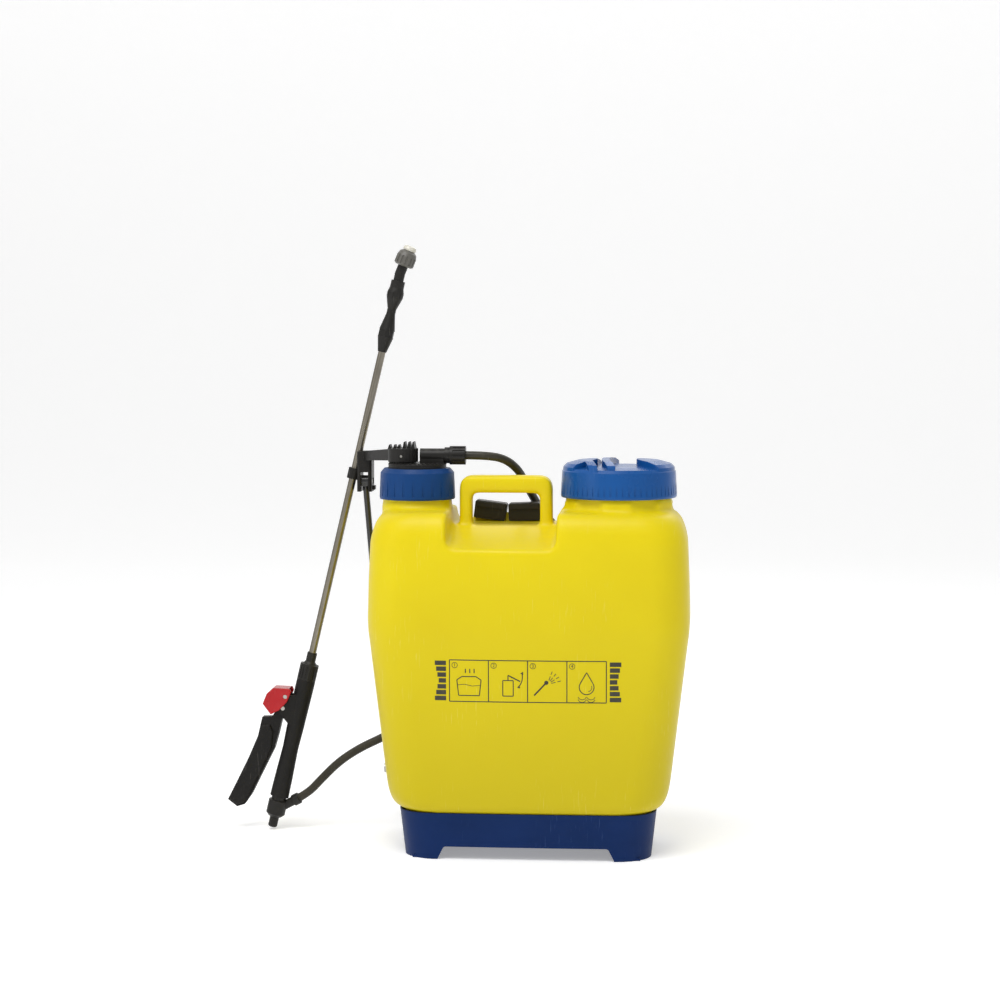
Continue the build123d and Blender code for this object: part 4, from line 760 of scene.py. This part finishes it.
skin = to_object(bm, "skin_smooth")
drill = bmesh.new()
depth = neck_top + BORE_PAST - BORE_FLOOR
for at_x, radius in (PUMP_NECK, FILL_NECK):
    bore_radius = radius - NECK_WALL
    bmesh.ops.create_cone(drill, cap_ends=True, segments=BORE_SIDES, radius1=bore_radius, radius2=bore_radius,
                          depth=depth, matrix=Matrix.Translation((at_x, 0, BORE_FLOOR + depth / 2)))
drill = to_object(drill, "drill")
bore = skin.modifiers.new("bore", "BOOLEAN")
bore.operation = "DIFFERENCE"
bore.object = drill
bore.solver = "EXACT"
skin_mesh = baked(skin)
bpy.data.objects.remove(drill)
tank_skin = place_mesh(skin_mesh, "tank_skin", 40)
dress(tank_skin, tank_yellow)
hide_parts("tank", "carry_handle")
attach(tank_skin, "root")
print("tank skin", len(tank_skin.data.polygons), "faces")

# %% [markdown]
# ## Print on the front
# The tank carries a printed strip of four small pictures between two stacks of bars. The pictures
# here are plain symbols of filling, pumping, spraying and rinsing. Ink has no thickness to speak of,
# so the shapes are drawn flat, wrapped on the tank by dropping every point on its surface, and
# given a tenth of a millimetre.

# %% Tools for drawing the print
INK_THICK = 0.00012
INK_CLEAR = 0.00010
LINE = 0.0011
THIN_LINE = 0.0006
STROKE_STEP = 0.006

ink = bmesh.new()


def flat(x, z, turn=0.0, wide=1.0, high=1.0):
    """Places a unit shape in the plane of the tank's front."""
    upright = Matrix.Rotation(math.pi / 2, 4, "X")
    turned = Matrix.Rotation(turn, 4, "Z") @ Matrix.Diagonal((wide, high, 1, 1))
    return Matrix.Translation((x, 0, z)) @ upright @ turned


def bar(x0, z0, x1, z1, width=LINE):
    """Straight stroke, cut often enough to bend with the tank."""
    length = math.hypot(x1 - x0, z1 - z0)
    turn = math.atan2(z1 - z0, x1 - x0)
    steps = max(1, round(length / STROKE_STEP))
    bmesh.ops.create_grid(ink, x_segments=steps, y_segments=1, size=0.5,
                          matrix=flat((x0 + x1) / 2, (z0 + z1) / 2, turn, length, width))


def strokes(points, width=LINE):
    for (x0, z0), (x1, z1) in zip(points, points[1:]):
        bar(x0, z0, x1, z1, width)


def arc(x, z, radius, start, end, width=LINE, steps=14):
    """Round stroke between two angles in degrees."""
    angles = [math.radians(start + (end - start) * i / steps) for i in range(steps + 1)]
    strokes([(x + radius * math.cos(a), z + radius * math.sin(a)) for a in angles], width)


def dot(x, z, radius, sides=20, turn=0.0):
    bmesh.ops.create_circle(ink, cap_ends=True, segments=sides, radius=1.0,
                            matrix=flat(x, z, turn, radius, radius))


def arrow_head(x, z, turn, size=0.0022):
    dot(x, z, size, sides=3, turn=turn)


# %% [markdown]
# The strip is a frame with a stack of bars at either end. Each picture is placed from the middle of
# its own panel.

# %% Draw the strip
STRIP_LEFT = -0.087
STRIP_RIGHT = 0.093
STRIP_LOW = 0.186
STRIP_HIGH = 0.234
PICTURES = 4
PANEL = (STRIP_RIGHT - STRIP_LEFT) / PICTURES
NUMBER_LEFT = 0.0165
NUMBER_DOWN = 0.006
NUMBER_RING = 0.0032
NUMBER_SIZE = 0.0058

for z in (STRIP_LOW, STRIP_HIGH):
    bar(STRIP_LEFT, z, STRIP_RIGHT, z)
for i in range(PICTURES + 1):
    x = STRIP_LEFT + i * PANEL
    bar(x, STRIP_LOW, x, STRIP_HIGH)
for side, x in ((-1, STRIP_LEFT - 0.004), (1, STRIP_RIGHT + 0.004)):
    for i in range(7):
        z = STRIP_LOW + 0.0035 + i * 0.0068
        bow = 0.0045 * abs(i - 3) / 3
        bar(x, z, x + side * (0.0085 + bow), z, 0.0052)

middle = STRIP_LOW + 0.021
for i in range(PICTURES):
    x = STRIP_LEFT + (i + 0.5) * PANEL
    arc(x - NUMBER_LEFT, STRIP_HIGH - NUMBER_DOWN, NUMBER_RING, 0, 360, THIN_LINE)
    if i == 0:
        strokes([(x - 0.012, middle - 0.014), (x - 0.014, middle + 0.004), (x - 0.008, middle + 0.008),
                 (x + 0.008, middle + 0.008), (x + 0.014, middle + 0.004), (x + 0.012, middle - 0.014),
                 (x - 0.012, middle - 0.014)])
        strokes([(x - 0.0135, middle - 0.002), (x - 0.005, middle - 0.001), (x + 0.004, middle - 0.003),
                 (x + 0.0135, middle - 0.002)], THIN_LINE)
        for drop in (-0.004, 0.001, 0.006):
            bar(x + drop, middle + 0.012, x + drop, middle + 0.017, 0.0012)
    if i == 1:
        strokes([(x - 0.006, middle - 0.014), (x - 0.006, middle + 0.004), (x + 0.006, middle + 0.004),
                 (x + 0.006, middle - 0.014), (x - 0.006, middle - 0.014)])
        bar(x, middle + 0.004, x, middle + 0.010)
        bar(x, middle + 0.010, x + 0.014, middle + 0.003, 0.0014)
        arc(x, middle + 0.008, 0.0165, -40, 12)
        arrow_head(x + 0.0163, middle + 0.0125, math.radians(95))
        arrow_head(x + 0.0125, middle - 0.0035, math.radians(230))
    if i == 2:
        bar(x - 0.015, middle - 0.013, x - 0.002, middle + 0.001, 0.0018)
        dot(x - 0.001, middle + 0.002, 0.0024)
        for turn in (15, 33, 51, 69):
            a = math.radians(turn)
            for near_end, far_end in ((0.005, 0.010), (0.012, 0.016)):
                bar(x + near_end * math.cos(a), middle + near_end * math.sin(a),
                    x + far_end * math.cos(a), middle + far_end * math.sin(a), 0.0008)
    if i == 3:
        arc(x, middle - 0.003, 0.0085, -215, 35)
        strokes([(x - 0.0070, middle + 0.0019), (x, middle + 0.014), (x + 0.0070, middle + 0.0019)])
        arc(x + 0.001, middle - 0.003, 0.0050, -80, 20, 0.0007)
        for wave in (-0.0145, -0.0175):
            arc(x - 0.005, middle + wave + 0.002, 0.005, 200, 340, 0.0007, 6)
            arc(x + 0.005, middle + wave + 0.002, 0.005, 200, 340, 0.0007, 6)
print("strip", len(ink.faces), "faces")

# %% [markdown]
# Each number stands inside its ring, at the upper left of its picture.

# %% Number the pictures
for i in range(PICTURES):
    digit = bpy.data.curves.new("digit", "FONT")
    digit.body = str(i + 1)
    digit.size = NUMBER_SIZE
    digit.align_x = "CENTER"
    digit.align_y = "CENTER"
    holder = bpy.data.objects.new("digit", digit)
    scene.collection.objects.link(holder)
    bpy.context.view_layer.update()
    digit_mesh = baked(holder)
    x = STRIP_LEFT + (i + 0.5) * PANEL - NUMBER_LEFT
    digit_mesh.transform(flat(x, STRIP_HIGH - NUMBER_DOWN))
    ink.from_mesh(digit_mesh)
    bpy.data.meshes.remove(digit_mesh)

# %% [markdown]
# A ray from the front finds the tank's skin behind every point of the drawing.

# %% Wrap the print on the tank
surface = BVHTree.FromObject(tank_skin, bpy.context.evaluated_depsgraph_get())
for vertex in ink.verts:
    hit = surface.ray_cast(Vector((vertex.co.x, -0.5, vertex.co.z)), Vector((0, 1, 0)))[0]
    vertex.co.y = hit.y - INK_CLEAR
bmesh.ops.recalc_face_normals(ink, faces=ink.faces)
bmesh.ops.reverse_faces(ink, faces=[f for f in ink.faces if f.normal.y > 0])
bmesh.ops.solidify(ink, geom=ink.faces[:], thickness=INK_THICK)
front_print = to_object(ink, "front_print", 30)
ink_black = hard_finish(
    "print_ink", (0.022, 0.021, 0.012), (0.040, 0.037, 0.018), 0.42, mottling=90.0, worn=(0.35, 0.30, 0.05),
    scuffed=0.5, dusty=0.0, grain_scale=1800.0, grain_depth=0.00001)
front_print.data.materials.append(ink_black)
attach(front_print, "root")
print("print", len(front_print.data.polygons), "faces")

# %% [markdown]
# ## Straps
# Each shoulder strap is polypropylene webbing: it leaves its hook behind the handle, goes into the
# top of a padded sleeve, and comes out at the sleeve's bottom to its buckle and lower hook. Webbing
# is flat, so it is a strip swept along its side profile. The side profile is a smooth curve through
# a few points, measured behind the tank's back and above the channel's floor, and the whole strap is
# then leaned from its hook towards its lug.

# %% Strap places
TANK_BACK = 0.085
CHANNEL_FLOOR = 0.382
LUG_X = 0.086
LUG_Z = 0.038
WEB_WIDTH = 0.030
WEB_THICK = 0.0017
WEB_COLUMNS = 6
SIDES = {"left": (-0.0535, -1), "right": (-0.011, 1)}
TOP_WEB = [(-0.0071, 0.0075), (0.002, 0.0035), (0.008, -0.006), (0.0139, -0.0393)]
LOW_WEB = [(0.0235, -0.2388), (0.0205, -0.275), (0.0155, -0.310), (0.012, -0.327)]


def strap_lean(side):
    hook_x, sign = SIDES[side]
    return math.atan2(sign * LUG_X - hook_x, CHANNEL_FLOOR - LUG_Z)


def strap_place(side):
    """Moves a strap piece from its upright profile to where it hangs."""
    lean = Matrix.Rotation(-strap_lean(side), 4, "Y")
    return Matrix.Translation((SIDES[side][0], 0, CHANNEL_FLOOR)) @ lean


def side_key(vertex):
    """Place of a point as seen from the side."""
    return round(vertex.co.y, 6), round(vertex.co.z, 6)


def strip(points, side, width, thickness):
    """Flat band along a smooth side profile, with a UV map in metres across and along."""
    stretch = 1 / math.cos(strap_lean(side))
    curve = bpy.data.curves.new("profile", "CURVE")
    curve.dimensions = "3D"
    curve.resolution_u = CURVE_STEPS
    line = curve.splines.new("BEZIER")
    line.bezier_points.add(len(points) - 1)
    for knot, (back, up) in zip(line.bezier_points, points):
        knot.co = (0, TANK_BACK + back, up * stretch if up < 0 else up)
        knot.handle_left_type = knot.handle_right_type = "AUTO"
    holder = bpy.data.objects.new("profile", curve)
    scene.collection.objects.link(holder)
    bpy.context.view_layer.update()
    band = taken_bmesh(baked(holder))
    band.verts.ensure_lookup_table()
    run = 0.0
    lengths = {side_key(band.verts[0]): run}
    for before, here in zip(band.verts[:], band.verts[1:]):
        run += (here.co - before.co).length
        lengths[side_key(here)] = run
    bmesh.ops.translate(band, verts=band.verts, vec=(-width / 2, 0, 0))
    grown = band.edges[:]
    for _ in range(WEB_COLUMNS):
        out = bmesh.ops.extrude_edge_only(band, edges=grown)["geom"]
        new_verts = [g for g in out if isinstance(g, bmesh.types.BMVert)]
        bmesh.ops.translate(band, verts=new_verts, vec=(width / WEB_COLUMNS, 0, 0))
        grown = [g for g in out if isinstance(g, bmesh.types.BMEdge) and g.verts[0] in new_verts
                 and g.verts[1] in new_verts]
    layer = band.loops.layers.uv.new("UVMap")
    for face in band.faces:
        for corner in face.loops:
            corner[layer].uv = (corner.vert.co.x, lengths[side_key(corner.vert)])
    bmesh.ops.recalc_face_normals(band, faces=band.faces)
    if sum(f.normal.y for f in band.faces) < 0:
        bmesh.ops.reverse_faces(band, faces=band.faces)
    bmesh.ops.translate(band, verts=band.verts, vec=(0, -thickness / 2, 0))
    bmesh.ops.solidify(band, geom=band.faces[:], thickness=-thickness)
    return band


# %% [markdown]
# Only the stretches above and below a pad are made. Their ends stop about 3 mm short of the
# smoothed pad, which leaves a small gap that shows from behind.

# %% Webbing
for side in SIDES:
    whole = bmesh.new()
    for points in (TOP_WEB, LOW_WEB):
        poured(strip(points, side, WEB_WIDTH, WEB_THICK), whole)
    bmesh.ops.transform(whole, matrix=strap_place(side), verts=whole.verts)
    strap = to_object(whole, "webbing_" + side, 40)
    strap.data.materials.append(webbing)
    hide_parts("strap_" + side)
    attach(strap, "root")
    print("webbing", side, len(strap.data.polygons), "faces")

# %% [markdown]
# ## Shoulder pads
# A pad is foam in a woven sleeve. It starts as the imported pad, a little smaller, rebuilt as a fine
# even mesh; air pressure inside a cloth simulation then crowns it and pulls its edges in. How far
# any point may move is capped, so the pad stays in its place behind the tank. Last, the mesh is
# subdivided once and smoothed.

# %% Pads
PAD_VOXEL = 0.0032
PAD_SHRINK = 0.0008
PAD_MOVE = 0.0025
PAD_SMOOTHINGS = 8
PAD_PRESSURE = 4.0
PAD_STIFFNESS = 12.0
PAD_FRAMES = 20


def swollen(piece):
    """Let air pressure crown a pad, then keep each point within its cap."""
    cloth = piece.modifiers.new("cloth", "CLOTH")
    cloth.settings.use_pressure = True
    cloth.settings.uniform_pressure_force = PAD_PRESSURE
    cloth.settings.effector_weights.gravity = 0.0
    cloth.settings.tension_stiffness = PAD_STIFFNESS
    cloth.settings.compression_stiffness = PAD_STIFFNESS
    cloth.point_cache.frame_start = 1
    cloth.point_cache.frame_end = PAD_FRAMES
    for frame_number in range(1, PAD_FRAMES + 1):
        scene.frame_set(frame_number)
    depsgraph = bpy.context.evaluated_depsgraph_get()
    grown = piece.evaluated_get(depsgraph).to_mesh()
    moved = [v.co.copy() for v in grown.vertices]
    piece.evaluated_get(depsgraph).to_mesh_clear()
    scene.frame_set(1)
    piece.modifiers.remove(cloth)
    for vertex, place in zip(piece.data.vertices, moved):
        step = place - vertex.co
        if step.length > PAD_MOVE:
            step = step.normalized() * PAD_MOVE
        vertex.co += step


for side in SIDES:
    bm = merged_copy("strap_pad_" + side)
    bmesh.ops.recalc_face_normals(bm, faces=bm.faces)
    for vertex in bm.verts:
        vertex.normal_update()
    inward = {v: v.normal.copy() for v in bm.verts}
    for vertex, normal in inward.items():
        vertex.co -= normal * PAD_SHRINK
    pad_mesh = rebuilt(to_object(bm, "pad_source"), PAD_VOXEL)
    pad = place_mesh(pad_mesh, "shoulder_pad_" + side, 180)
    swollen(pad)
    finer = pad.modifiers.new("finer", "SUBSURF")
    finer.levels = finer.render_levels = 1
    bm = taken_bmesh(baked(pad))
    smoothed(bm, PAD_SMOOTHINGS)
    pad = to_object(bm, "shoulder_pad_" + side, 180)
    back = strap_place(side).inverted()
    layer = pad.data.uv_layers.new(name="UVMap")
    for corner in pad.data.loops:
        local = back @ pad.data.vertices[corner.vertex_index].co
        layer.data[corner.index].uv = (local.x, local.z)
    dress(pad, pad_fabric)
    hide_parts("strap_pad_" + side)
    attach(pad, "root")
    print("pad", side, len(pad.data.polygons), "faces")
